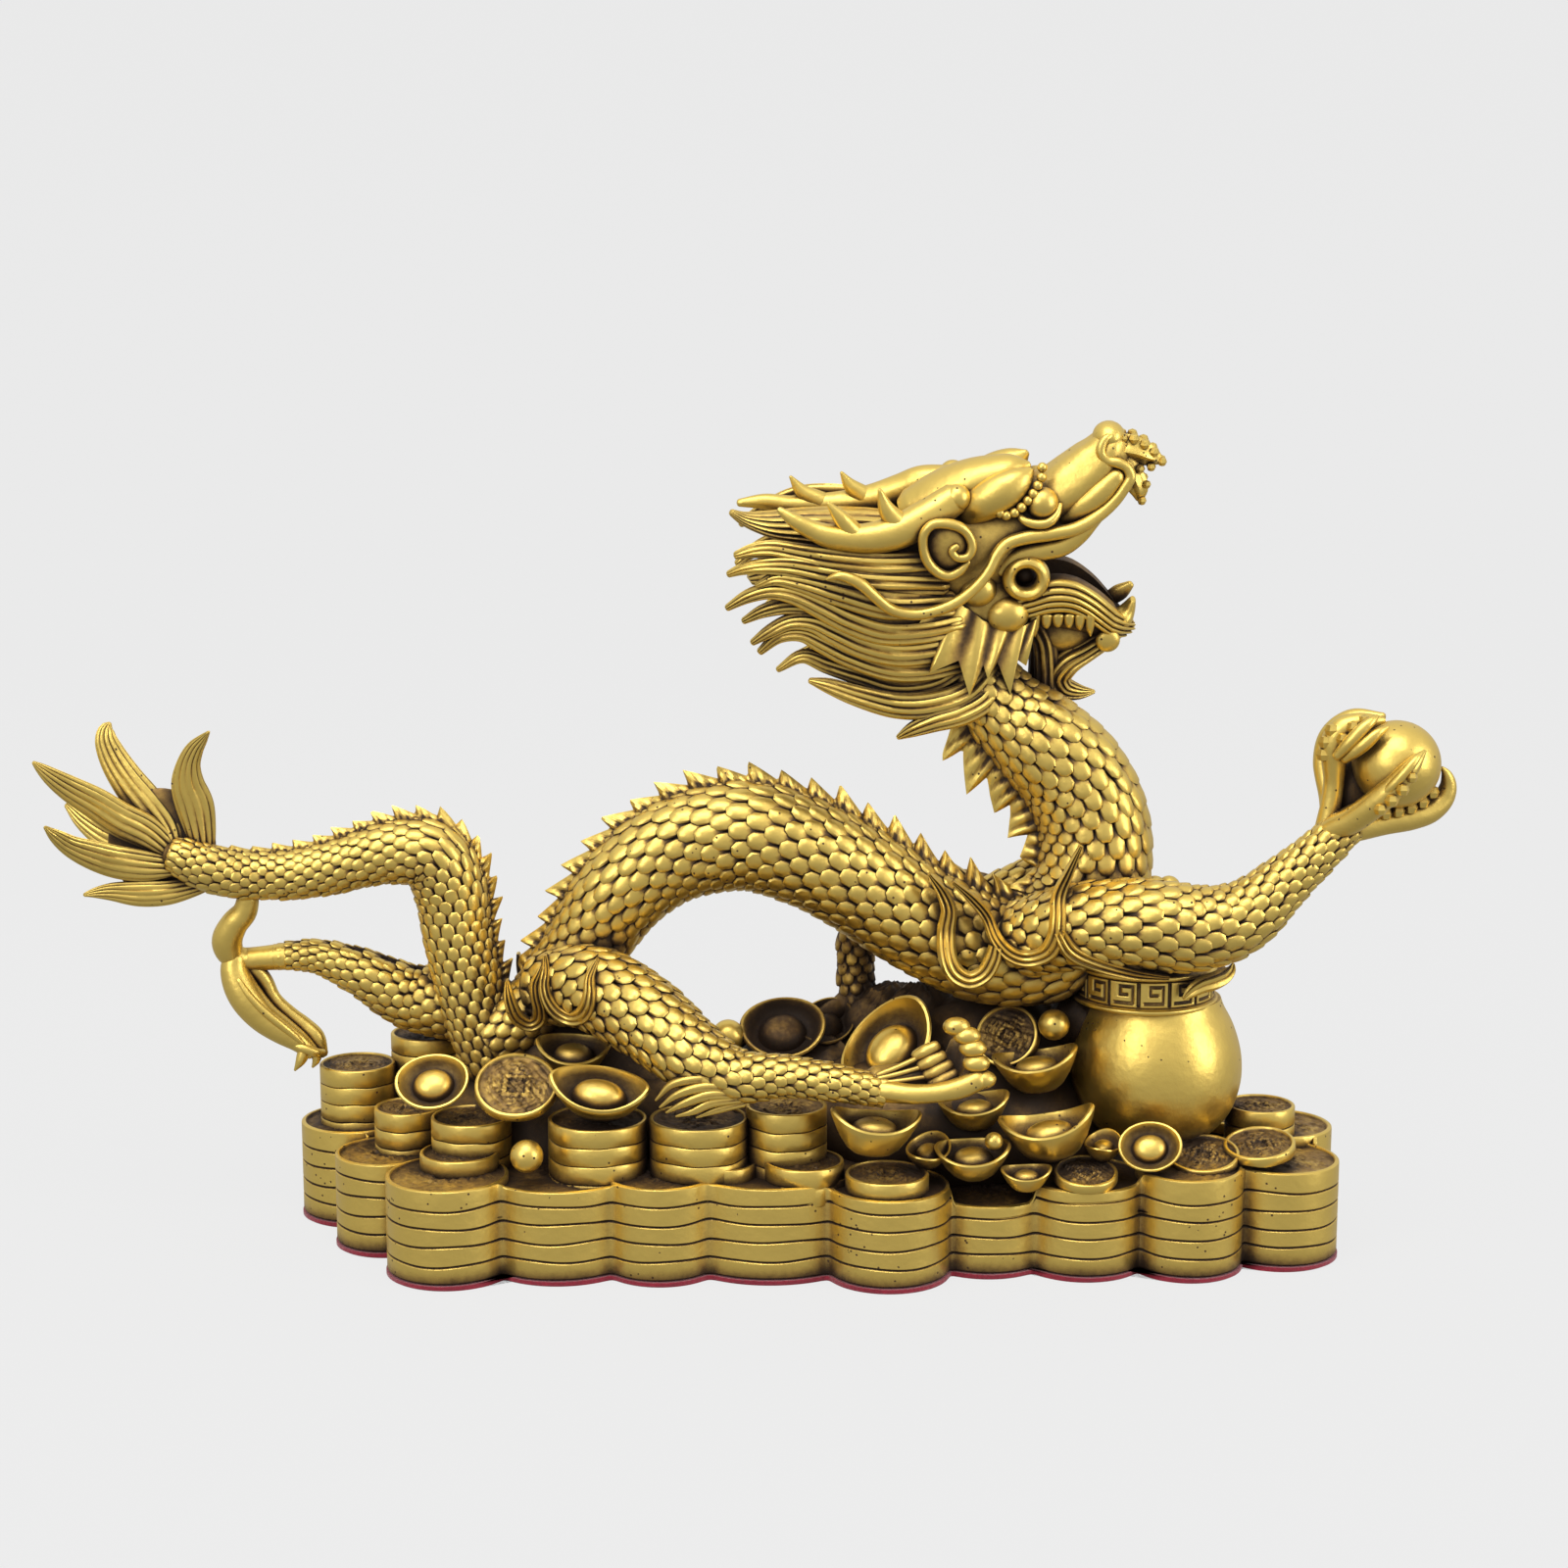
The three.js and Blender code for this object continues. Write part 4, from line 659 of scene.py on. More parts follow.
def tube(path, sides=16, step=1.0, swell=None, patina=0.0, lift=0.0):
    """A limb: the path's surface times swell(length, angle), with a rounded cap at each end. The patina and
    painted shade are one value or a function of length and angle."""
    s = np.linspace(0, path.length, max(int(path.length / step) + 1, 4))
    s, a = np.meshgrid(s, TAU * np.arange(sides) / sides, indexing="ij")
    grow = swell(s, a) if swell else np.ones_like(s)
    dark = patina(s, a) if callable(patina) else np.full_like(s, patina)
    grid = path.surface(s, a, lift, grow)
    rows = [grid]
    poles = []
    for i, sign in ((0, -1), (-1, 1)):
        v = path.at(s[i, 0])
        reach = v[WIDE] + lift
        cap = v[MIDDLE] + (grid[i] - v[MIDDLE]) * CAP_WIDTH + sign * v[ALONG] * CAP_REACH * reach
        poles.append(v[MIDDLE] + sign * v[ALONG] * TIP_REACH * reach)
        rows = [cap[None], *rows] if sign < 0 else [*rows, cap[None]]
    dark = np.vstack([dark[:1], dark, dark[-1:]])
    return closed(np.vstack(rows), poles[0], poles[1], dark)


def cords(count, depth, twist=0.0):
    """Swell of a bundle of strands: 1 - depth * (1 - |sin(count * angle / 2)|) ** 1.5, turning with
    length."""
    return lambda s, a: 1 - depth * (1 - np.abs(np.sin(count * a / 2 + twist * s))) ** 1.5


def cord_patina(count, twist=0.0, base=0.1):
    """Dark in the grooves between the strands: base + 0.9 * (1 - |sin(count * angle / 2)|) ** 2."""
    return lambda s, a: base + 0.9 * (1 - np.abs(np.sin(count * a / 2 + twist * s))) ** 2


def bulbs(pitch, depth):
    """Swell of a row of knuckles: 1 + depth * (|sin(pi * length / pitch)| - 0.6)."""
    return lambda s, a: 1 + depth * (np.abs(np.sin(np.pi * s / pitch)) - 0.6)


def lobes(count, depth):
    """Swell of evenly spaced soft lobes: 1 + depth * cos(count * angle)."""
    return lambda s, a: 1 + depth * np.cos(count * a)


def hair(stations, strands, depth=0.26, step=1.2, base=0.05, twist=0.02):
    """A lock: a tube cut by grooves into strands that turn a little on their way."""
    dark = cord_patina(strands, twist, base)
    return tube(Path(stations), strands * 5, step, cords(strands, depth, twist), dark)


def plain(stations, sides=20, step=1.0, dark=0.0):
    """A smooth tube."""
    return tube(Path(stations), sides, step, patina=dark)


def ball(x, y, z, rx, ry=None, rz=None, patina=0.0, sides=26, rings=14):
    """Centre + radii * (cos b cos a, cos b sin a, sin b)."""
    ry, rz = ry or rx, rz or rx
    b = np.linspace(-np.pi / 2, np.pi / 2, rings + 2)[1:-1]
    b, a = np.meshgrid(b, TAU * np.arange(sides) / sides, indexing="ij")
    grid = np.stack([x + rx * np.cos(b) * np.cos(a), y + ry * np.cos(b) * np.sin(a), z + rz * np.sin(b)], -1)
    return closed(grid, [x, y, z - rz], [x, y, z + rz], patina)


def ring(centre, radius, thick, deep, tube_sides=12, sides=32):
    """A torus whose hole faces the shown side, stretched to deep across it."""
    b, a = np.meshgrid(
        TAU * np.arange(sides) / sides, TAU * np.arange(tube_sides) / tube_sides, indexing="ij"
    )
    out = radius + thick * np.cos(a)
    grid = np.stack([out * np.cos(b), deep * np.sin(a), out * np.sin(b)], -1)
    last = (sides - 1) * tube_sides
    k = np.arange(tube_sides)
    n = (k + 1) % tube_sides
    join = np.stack([last + k, last + n, n, k], -1)
    return Shell(grid.reshape(-1, 3) + centre, np.vstack([lattice(sides, tube_sides), join])[:, ::-1])


def lathe(x, y, profile, sides=96, patina=0.0):
    """Rings of the profile's [radius, height] turned about an upright axis."""
    profile = np.array(profile, float)
    a = TAU * np.arange(sides) / sides
    r = profile[:, :1]
    grid = np.stack([x + r * np.cos(a), y + r * np.sin(a), profile[:, 1:2] + 0 * a], -1)
    return closed(grid, [x, y, profile[0, 1]], [x, y, profile[-1, 1]], patina)


def flip(stations):
    """The mirror image on the far side."""
    return [[x, -y, *rest] for x, y, *rest in stations]


def both(stations, make, *more):
    """What make gives for the stations and for their mirror image."""
    return [make(stations, *more), make(flip(stations), *more)]


def pair(centre, **more):
    """A ball and its mirror image."""
    return [ball(*c, **more) for c in (centre, *flip([centre]))]


# Scales: the corners of one, and the powers that make its outline a rounded square, across and along the
# limb
PLATE_SIDES = 10
ACROSS_POWER = 0.82
ALONG_POWER = 0.86
# How far the three rings on a scale's top and the one underneath reach
PLATE_RINGS = [0.45, 0.84, 1.0, 0.97]
# How far a scale's free end rises, its middle domes and its rim drops, all as shares of its half length
PLATE_RISE = 0.42
PLATE_DOME = 0.11
RIM_DROP = 0.09
UNDER_DROP = 0.8
# Painted shade underneath a scale, patina on its rim, inside the rim and on its middle, and painted
# shade on the end under the next scale
UNDER_SHADE, RIM_DARK, INNER_DARK, MIDDLE_DARK, HELD_SHADE = 1.2, 0.62, 0.04, -0.1, 0.85
# How far the dark core of a limb lies under its measures, and the scales over the core
CORE_LIFT = -1.0
PLATE_LIFT = 0.4
BELLY_LIFT = 0.3
FEWEST_PLATES = 7


def plate_template(sides=PLATE_SIDES):
    """Points of one scale as (across, along), the ring of each, and its faces: three rings on top, one
    underneath, and a point closing each side."""
    a = TAU * np.arange(sides) / sides
    cos, sin = np.cos(a), np.sin(a)
    across = np.sign(cos) * np.abs(cos) ** ACROSS_POWER
    along = np.sign(sin) * np.abs(sin) ** ALONG_POWER
    reach = np.array(PLATE_RINGS)[:, None]
    grid = np.stack([reach * across, reach * along], -1).reshape(-1, 2)
    flat = np.vstack([grid, [[0, 0], [0, 0]]])
    level = np.concatenate([np.repeat(np.arange(1, 5), sides), [0, 5]])
    quads = lattice(4, sides)[:, ::-1]
    k = np.arange(sides)
    n = (k + 1) % sides
    tris = np.vstack([
        np.stack([np.full(sides, 4 * sides), k, n], -1),
        np.stack([np.full(sides, 4 * sides + 1), 3 * sides + n, 3 * sides + k], -1),
    ])
    return flat, level, quads, tris


def lay_plates(path, s0, a0, half_angle, half_length, free_end, core, sides=PLATE_SIDES, flatter=1.0):
    """Scales at lengths s0 and angles a0, like roof tiles. A point of a scale lies at
    s0 + along * half length and a0 + across * half angle, and is lifted by half length times
    rise * free share + dome * (1 - reach ** 2), less a drop on the rim; the underside is sunk. Patina
    darkens the rim, and painted shade darkens the underside and the end under the next scale and grows by
    0.27 * (1 - free) ** 1.5 away from the free end; all of it differs a little from scale to scale."""
    flat, level, quads, tris = plate_template(sides)
    s0, a0, half_angle, half_length = np.broadcast_arrays(s0, a0, half_angle, half_length)
    s = s0[:, None] + flat[:, 1] * half_length[:, None]
    a = a0[:, None] + flat[:, 0] * half_angle[:, None]
    free = free_end * flat[:, 1]
    reach = np.hypot(flat[:, 0], flat[:, 1])
    lift = flatter * PLATE_RISE * (free + 1) / 2 + PLATE_DOME * (1 - reach**2) - RIM_DROP * (level == 3)
    lift = core + lift * half_length[:, None] + rng.uniform(-0.1, 0.1, (len(s0), 1))
    under = level >= 4
    lift = np.where(under, core - UNDER_DROP, lift)
    points = path.surface(s, a, lift)
    rim = RIM_DARK - 0.4 * np.clip(free, 0, 1)
    # Painted shade underneath a scale; patina on its rim and inside it
    dark = np.select([under, level == 3, level == 2], [UNDER_SHADE, rim, INNER_DARK], MIDDLE_DARK)
    # Painted shade that grows away from the free end, towards the covered root
    dark = dark + 0.27 * (1 - free) ** 1.5
    # Painted shade on the end that lies under the next scale
    dark = np.where((free < -0.3) & ~under, HELD_SHADE, dark)
    dark = dark + rng.uniform(-0.04, 0.26, (len(s0), 1))
    offset = np.arange(len(s0))[:, None, None] * len(flat)
    return Shell(points, quads + offset, tris + offset, dark.ravel())


def scaled(stations, around, free_end, belly=0.0, extra=None, spacing=0.78, painted_shade=0.0):
    """A limb clad in scales: a dark core, and rows of scales. The thickest place has around of them in a
    row, other places around * (radius / thickest) ** 0.45 and at least 7, and rows lie spacing * width
    apart. With a belly, one wide plate of that half angle takes the place of the scales underneath. The
    last argument darkens it all with painted shade."""
    path = Path(stations, extra)
    shells = [tube(path, 40, 1.6, patina=1.0, lift=CORE_LIFT)]
    radius = (path.table[:, WIDE] + path.table[:, HIGH]) / 2
    number = np.maximum(around * (radius / radius.max()) ** 0.45, FEWEST_PLATES)
    width = TAU * radius / number
    count = np.concatenate([[0], np.cumsum(np.diff(path.s) / (spacing * (width[1:] + width[:-1]) / 2))])
    rows = np.arange(0, count[-1])
    row_s = np.interp(rows, count, path.s)
    row_number = np.round(np.interp(row_s, path.s, number)).astype(int)
    row = np.repeat(np.arange(len(rows)), row_number)
    k = np.arange(len(row)) - np.repeat(np.cumsum(row_number) - row_number, row_number)
    s0 = row_s[row]
    a0 = (TAU * (k + 0.5 * (row % 2)) / row_number[row] + np.pi / 2) % TAU
    keep = np.abs(a0 - UNDERNEATH) > 0.86 * belly
    s0, a0, share = s0[keep], a0[keep], TAU / row_number[row][keep]
    wide = np.interp(s0, path.s, width)
    s0 = s0 + rng.uniform(-0.06, 0.06, len(s0)) * wide
    a0 = a0 + rng.uniform(-0.05, 0.05, len(a0)) * share
    half = rng.uniform(0.475, 0.51, len(s0)) * share
    shells.append(lay_plates(path, s0, a0, half, 0.95 * spacing * wide, free_end, CORE_LIFT + PLATE_LIFT))
    if belly:
        wide = np.interp(row_s, path.s, width)
        shells.append(lay_plates(
            path, row_s, UNDERNEATH, belly, 0.95 * spacing * wide, free_end, CORE_LIFT + BELLY_LIFT, 20, 0.8
        ))
    # Painted shade over the whole limb
    for shell in shells:
        shell.patina += painted_shade
    return shells


# The share of its pitch over which a spine of a crest rises, and how far a crest's foot is sunk in the
# back
SPINE_RISE = 0.2
CREST_SUNK = 2.0


def crest(path, pitch, start, end, thick=1.9, lean=0.55, low=0.3, sharp=1.15):
    """A fin of flame-shaped spines on the back. Its height is the path's crest height * tooth, where a
    tooth rises over the first fifth of its pitch and runs out towards the head; pitches are measured
    along the middle of the crest, each point leans to the tail by lean * height, and both faces carry
    slanting grooves."""
    s = np.arange(start, end, 0.45)
    spine = path.at(s)
    line = spine[:, MIDDLE] + spine[:, OVER] * (spine[:, HIGH, None] + 0.4 * spine[:, EXTRA, None])
    run = np.concatenate([[0], np.cumsum(np.linalg.norm(np.diff(line, axis=0), axis=1))]) / pitch
    phase = run % 1
    fall = 1 - np.clip((phase - SPINE_RISE) / (1 - SPINE_RISE), 0, 1)
    tooth = np.minimum(phase / SPINE_RISE, 1) ** 0.9 * fall**sharp
    size = 1 + 0.16 * np.sin(2.4 * np.floor(run)) + 0.1 * np.sin(5.1 * np.floor(run))
    tooth = low + (1 - low) * tooth * size
    ends = np.clip(np.minimum(s - start, end - s) / 6, 0, 1)
    s, v = np.meshgrid(s, np.linspace(-1, 1, 15), indexing="ij")
    row = path.at(s)
    share = 1 - np.abs(v)
    height = row[..., EXTRA] * (tooth * ends)[:, None] * share
    ridge = np.sin(TAU * 3 * run[:, None] - 3 * share)
    across = np.sign(v) * thick * np.abs(v) ** 0.8 * (1 + 0.25 * ridge * np.minimum(4 * share, 1))
    up = row[..., HIGH] - CREST_SUNK + (height + CREST_SUNK * np.minimum(share * 6, 1))
    points = (
        row[..., MIDDLE] + row[..., OVER] * up[..., None] + row[..., SIDE] * across[..., None]
        - row[..., ALONG] * (lean * height)[..., None]
    )
    dark = 0.1 + 0.6 * (ridge < -0.35) * (share < 0.9) + 0.45 * (share < 0.35)
    foot = path.at(np.array([start, end]))
    ends = foot[:, MIDDLE] + foot[:, OVER] * (foot[:, HIGH, None] - CREST_SUNK)
    return closed(points, ends[0], ends[1], dark)


# A coin's square hole, and where the strokes of its face begin and end, as shares of its radius
HOLE = 0.2
STROKES_FROM, STROKES_TO = 0.36, 0.75
STROKE_PITCH = 0.13


def coin_face(x, y, radius):
    """Relief of a cash coin in millimetres: a frame round a square hole, and in each of the four quarters
    a stem with three strokes across it, which aren't letters."""
    hole = HOLE * radius
    square = np.maximum(np.abs(x), np.abs(y))
    relief = 0.3 * (np.abs(square - 1.35 * hole) < 0.33 * hole) - 0.3 * (square < hole)
    for turn in range(4):
        c, s = np.cos(turn * np.pi / 2), np.sin(turn * np.pi / 2)
        u, w = (c * x + s * y) / radius, (c * y - s * x) / radius
        strokes = (np.abs(w) < 0.2) & (np.abs(((u - STROKES_FROM) / STROKE_PITCH) % 1 - 0.5) < 0.24)
        stem = np.abs(w - 0.02) < 0.05
        relief = relief + 0.22 * ((strokes | stem) & (u > STROKES_FROM) & (u < STROKES_TO))
    return relief


def rough(x, y, seed):
    """Uneven ground: three crossed waves of about 3, 2 and 1 mm."""
    return (
        np.sin(2.1 * x + seed) * np.sin(1.9 * y - seed) + 0.7 * np.sin(3.3 * x + 2.6 * y + 2 * seed)
        + 0.6 * np.sin(5.9 * y - 4.7 * x + seed)
    )


# Section of one layer of a stack at its foot and at its head, each [depth, distance from that edge,
# patina]
LAYER_FOOT = [[0.4, 0, 1.0], [0.12, 0.14, 0.6], [0, 0.32, 0.06]]
LAYER_HEAD = [[0, 0.36, 0.0], [0.12, 0.14, 0.25]]
# The raised rim of the top coin, each [depth, drop, patina], and its face inside the rim
RIM_SHAPE = [[0.3, 0, -0.25], [0.8, 0, -0.2], [1.1, 0.5, 0.8]]
FACE_INSET = 1.4
FACE_DROP = 0.7
FACE_DARK = 0.86


def stack(x, y, radius, top, bottom, sides=56, seed=0.0, rings=16):
    """A lathe of layers: radius less a groove at each joint, which sways a little, then a raised rim and
    a sunk, rough face."""
    layers = max(round((top - bottom) / LAYER), 1)
    thick = (top - bottom) / layers
    wall = []
    for i in range(layers):
        foot = bottom + i * thick
        wall += [[radius - depth, foot + rise, dark] for depth, rise, dark in LAYER_FOOT]
        wall += [[radius - depth, foot + thick - drop, dark] for depth, drop, dark in LAYER_HEAD]
    swaying = len(wall) - len(LAYER_HEAD)
    wall += [[radius - depth, top - drop, dark] for depth, drop, dark in RIM_SHAPE]
    face = [[r, top - FACE_DROP, FACE_DARK] for r in np.linspace(radius - FACE_INSET, 0.5, rings)]
    profile = np.array(wall + face)
    row = np.arange(len(profile))[:, None]
    a = TAU * np.arange(sides) / sides
    r = profile[:, :1] + 0 * a
    sway = 0.16 * np.sin(3 * a + seed) + 0.1 * np.sin(7 * a - 2 * seed)
    z = profile[:, 1:2] + sway * (row < swaying)
    px, py = r * np.cos(a), r * np.sin(a)
    is_face = row >= len(wall)
    relief = coin_face(
        px * np.cos(seed) + py * np.sin(seed), py * np.cos(seed) - px * np.sin(seed), radius
    )
    ground = rough(px, py, seed)
    z = z + np.where(is_face, relief + 0.17 * ground, 0)
    dark = profile[:, 2:3] + np.where(is_face, 0.1 * ground - 0.1 * (relief > 0.2), 0)
    grid = np.stack([x + px, y + py, z], -1)
    return closed(grid, [x, y, bottom], [x, y, top - FACE_DROP], dark)


def turned(shell, place, turn=0.0, lean=0.0, tip=0.0, middle=(0, 0, 0)):
    """A shell turned about z, then leant about x, then tipped about y, in degrees, with middle moved to
    place."""
    m = np.array(
        Matrix.Rotation(np.radians(tip), 3, "Y") @ Matrix.Rotation(np.radians(lean), 3, "X")
        @ Matrix.Rotation(np.radians(turn), 3, "Z")
    )
    return shell.moved(lambda p: (p - middle) @ m.T + place)


def loose_coin(x, y, z, radius, lean, tip, seed=0.0, sides=72, rings=22):
    """A stack of one layer about its own middle, leant and tipped."""
    disc = stack(0, 0, radius, COIN_THICK / 2, -COIN_THICK / 2, sides, seed, rings)
    return turned(disc, [x, y, z], 0, lean, tip)


# Rings of an ingot from its foot over its rim to its egg, each [reach, height, share of the rise of the
# ends, patina], as shares of its half length; then the first ring of the egg, and the egg's middle and
# top
INGOT_RINGS = np.array([
    [0.36, 0, 0, 0.7], [0.44, 0.02, 0, 0.4], [0.58, 0.12, 0.05, 0.15], [0.76, 0.31, 0.3, 0.02],
    [0.9, 0.5, 0.66, 0.0], [0.98, 0.62, 0.9, -0.1], [1.0, 0.68, 1, -0.3], [0.97, 0.72, 1.03, -0.35],
    [0.92, 0.72, 1, -0.3], [0.88, 0.67, 0.92, 0.1], [0.81, 0.56, 0.62, 0.42], [0.73, 0.48, 0.34, 0.52],
    [0.64, 0.44, 0.12, 0.6], [0.57, 0.43, 0.02, 0.8], [0.55, 0.46, 0, 0.65], [0.52, 0.55, 0, 0.36],
    [0.44, 0.66, 0, 0.22], [0.31, 0.735, 0, 0.15], [0.15, 0.77, 0, 0.1],
])
EGG_RING = 14
EGG_HEIGHT = 0.62
EGG_TOP = 0.778


def ingot(x, y, z, half, turn, lean, tip, breadth, rise, sides=50):
    """A boat: rings of reach * (cos, breadth * sin * |sin| ** pointed), each raised by height + rise *
    share * |cos| ** 2.4, with an egg in the hollow that is rounder than the boat. A narrow boat is more
    pointed."""
    a = TAU * np.arange(sides) / sides
    reach, height, share, dark = (INGOT_RINGS[:, i : i + 1] for i in range(4))
    pointed = 1.2 * max(0.8 - breadth, 0)
    is_egg = np.arange(len(INGOT_RINGS))[:, None] >= EGG_RING
    wide = np.where(is_egg, 0.14 + 0.86 * breadth, breadth * np.abs(np.sin(a)) ** pointed)
    grid = np.stack([
        reach * np.cos(a), wide * reach * np.sin(a), height + rise * share * np.abs(np.cos(a)) ** 2.4,
    ], -1) * half
    boat = closed(grid, [0, 0, 0], [0, 0, EGG_TOP * half], dark)
    return turned(boat, [x, y, z], turn, lean, tip, [0, 0, EGG_HEIGHT * half])


def notch(a, b):
    """Where two neighbouring rings of the bed cross, on the outer side of the line between their
    middles."""
    (ax, ay, ar), (bx, by, br) = a[:3], b[:3]
    gap = np.hypot(bx - ax, by - ay)
    along = (gap * gap + ar * ar - br * br) / (2 * gap)
    out = np.sqrt(max(ar * ar - along * along, 0))
    ux, uy = (bx - ax) / gap, (by - ay) / gap
    return ax + ux * along + uy * out, ay + uy * along - ux * out


def bed_outline(step=0.05):
    """An arc of each bulge between its two notches, all the way round, each point [x, y, top of its
    bulge]."""
    points = []
    for i, (x, y, radius, top) in enumerate(BED_EDGE):
        sx, sy = notch(BED_EDGE[i - 1], BED_EDGE[i])
        ex, ey = notch(BED_EDGE[i], BED_EDGE[(i + 1) % len(BED_EDGE)])
        start = np.arctan2(sy - y, sx - x)
        turn = (np.arctan2(ey - y, ex - x) - start) % TAU
        a = start + turn * np.arange(0, 1, step / turn)
        points.append(np.stack([x + radius * np.cos(a), y + radius * np.sin(a), np.full(len(a), top)], -1))
    return np.vstack(points)


def soften(values, width, step):
    """A running mean of a closed line with bell-shaped weights, worked out in its frequencies."""
    bell = np.exp(-0.5 * (TAU * np.fft.rfftfreq(len(values), step) * width) ** 2)
    return np.fft.irfft(np.fft.rfft(values, axis=0) * bell[:, None], len(values), axis=0)


# How widely the bed's outline, its top and its valleys are softened, and the depth at which a valley is
# deepest
VALLEY_WIDTH = 1.5
TOP_WIDTH = 0.7
SHADE_WIDTH = 1.2
VALLEY_DEPTH = 0.8


def bed_line(step=1.0):
    """The bed's outline at even steps with its valleys rounded: x and y, the way out, the top, how deep
    each point lies in a valley, from 0 to 1, and the length along the line."""
    raw = bed_outline()
    raw = np.vstack([raw, raw[:1]])
    run = np.concatenate([[0], np.cumsum(np.hypot(*np.diff(raw[:, :2], axis=0).T))])
    count = int(run[-1] / step)
    step = run[-1] / count
    at = step * np.arange(count)
    even = np.stack([np.interp(at, run, raw[:, i]) for i in range(3)], -1)
    line = soften(even[:, :2], VALLEY_WIDTH, step)
    top = soften(even[:, 2:], TOP_WIDTH, step)[:, 0]
    along = np.roll(line, -1, 0) - np.roll(line, 1, 0)
    along /= np.hypot(*along.T)[:, None]
    valley = soften(np.hypot(*(even[:, :2] - line).T)[:, None], SHADE_WIDTH, step)[:, 0]
    return line, np.stack([along[:, 1], -along[:, 0]], -1), top, np.clip(valley / VALLEY_DEPTH, 0, 1), at


def bed_wall():
    """The scalloped wall: at each height the outline, pushed in by the row's depth. Four wavy grooves run
    round it, each five rows deep, then the top rounds over and a deck closes the middle. Where a bulge is
    low, the rows that would lie over its top crowd together smoothly below it."""
    line, out, top, valley, run = bed_line()
    rows = [(BED_BOTTOM + 0 * run, 0.35, 0.7), (BED_BOTTOM + 0.5 + 0 * run, 0.0, 0.2)]
    for i, level in enumerate(GROOVES):
        wave = 0.22 * np.sin(run / 7.3 + 2.2 * i) + 0.13 * np.sin(run / 3.1 + 1.3 * i)
        rows += [(level + rise + wave, depth, dark) for rise, depth, dark in GROOVE_SHAPE]
    grid, shade = [], []
    for i, (z, depth, dark) in enumerate(rows):
        roof = top - 1.2 - 0.03 * (len(rows) - i)
        depth = np.where(z > roof, 0, depth)
        grid.append(np.column_stack([line - out * depth[:, None], np.minimum(z, roof)]))
        shade.append(np.where(z > roof, 0, dark) + 0.6 * valley)
    for rise, depth, dark in EDGE_SHAPE:
        grid.append(np.column_stack([line - out * depth, top + rise]))
        shade.append(dark + 0.3 * valley)
    grid.append(np.column_stack([line - out * DECK_INSET, np.full(len(line), DECK)]))
    shade.append(np.full(len(line), 1.0))
    middle = line.mean(0)
    return closed(np.stack(grid), [*middle, BED_BOTTOM], [*middle, DECK], np.stack(shade))


def slab(outline, levels):
    """Rings of the outline at the given heights, each [height, share of its size], closed to the
    middle."""
    middle = outline.mean(0)
    rings = [np.column_stack([middle + (outline - middle) * k, np.full(len(outline), z)]) for z, k in levels]
    return closed(np.stack(rings), [*middle, levels[0][0]], [*middle, levels[-1][0]], 0.0)


def heap(x, y, z, rx, ry, rz):
    """An ellipsoid painted dark all over as shade, with a rough skin of low waves, cut off flat at
    HEAP_BOTTOM, inside the bed.
    """
    mound = ball(x, y, z, rx, ry, rz, 1.0, 50, 28)
    p = mound.points
    p[:, 2] = np.maximum(p[:, 2] + 0.5 * rough(0.5 * p[:, 0], 0.5 * p[:, 1], 1.0), HEAP_BOTTOM)
    return mound


def strewn_coins(x, y, z, rx, ry, rz):
    """Coins on the hidden side of an ellipsoid, evenly round it at two heights and moved a little at
    random, each lying roughly along its skin and sunk by half."""
    turn = (np.linspace(0.16, 0.84, COINS_A_HEAP) + rng.uniform(-0.02, 0.02, COINS_A_HEAP)) * np.pi
    high = 0.42 + 0.26 * (np.arange(COINS_A_HEAP) % 2) + rng.uniform(-0.06, 0.06, COINS_A_HEAP)
    flat = np.sqrt(1 - high**2)
    way = np.stack([flat * np.cos(turn), flat * np.sin(turn), high], -1)
    normal = way / [rx, ry, rz]
    normal /= np.linalg.norm(normal, axis=1)[:, None]
    normal += rng.uniform(-0.25, 0.25, normal.shape)
    normal /= np.linalg.norm(normal, axis=1)[:, None]
    place = [x, y, z] + way * [rx, ry, rz]
    lean = -np.degrees(np.arcsin(normal[:, 1]))
    tip = np.degrees(np.arctan2(normal[:, 0], normal[:, 2]))
    size = rng.uniform(5.5, 8, COINS_A_HEAP)
    return [
        loose_coin(*place[i], size[i], lean[i], tip[i], seed=i, sides=30, rings=8)
        for i in range(COINS_A_HEAP)
    ]


# Lines of one cell of the Greek key, each from [u, v] to [u, v], and half the width of a line
FRET = [
    [0, 0, 0, 1], [0.22, 0.16, 0.8, 0.16], [0.8, 0.16, 0.8, 0.84], [0.8, 0.84, 0.38, 0.84],
    [0.38, 0.84, 0.38, 0.5], [0.38, 0.5, 0.6, 0.5],
]
FRET_LINE = 0.045
FRET_SLOPE = 0.035
FRET_DEPTH = 0.5
FRET_COLUMNS = 28
FRET_ROWS = 60


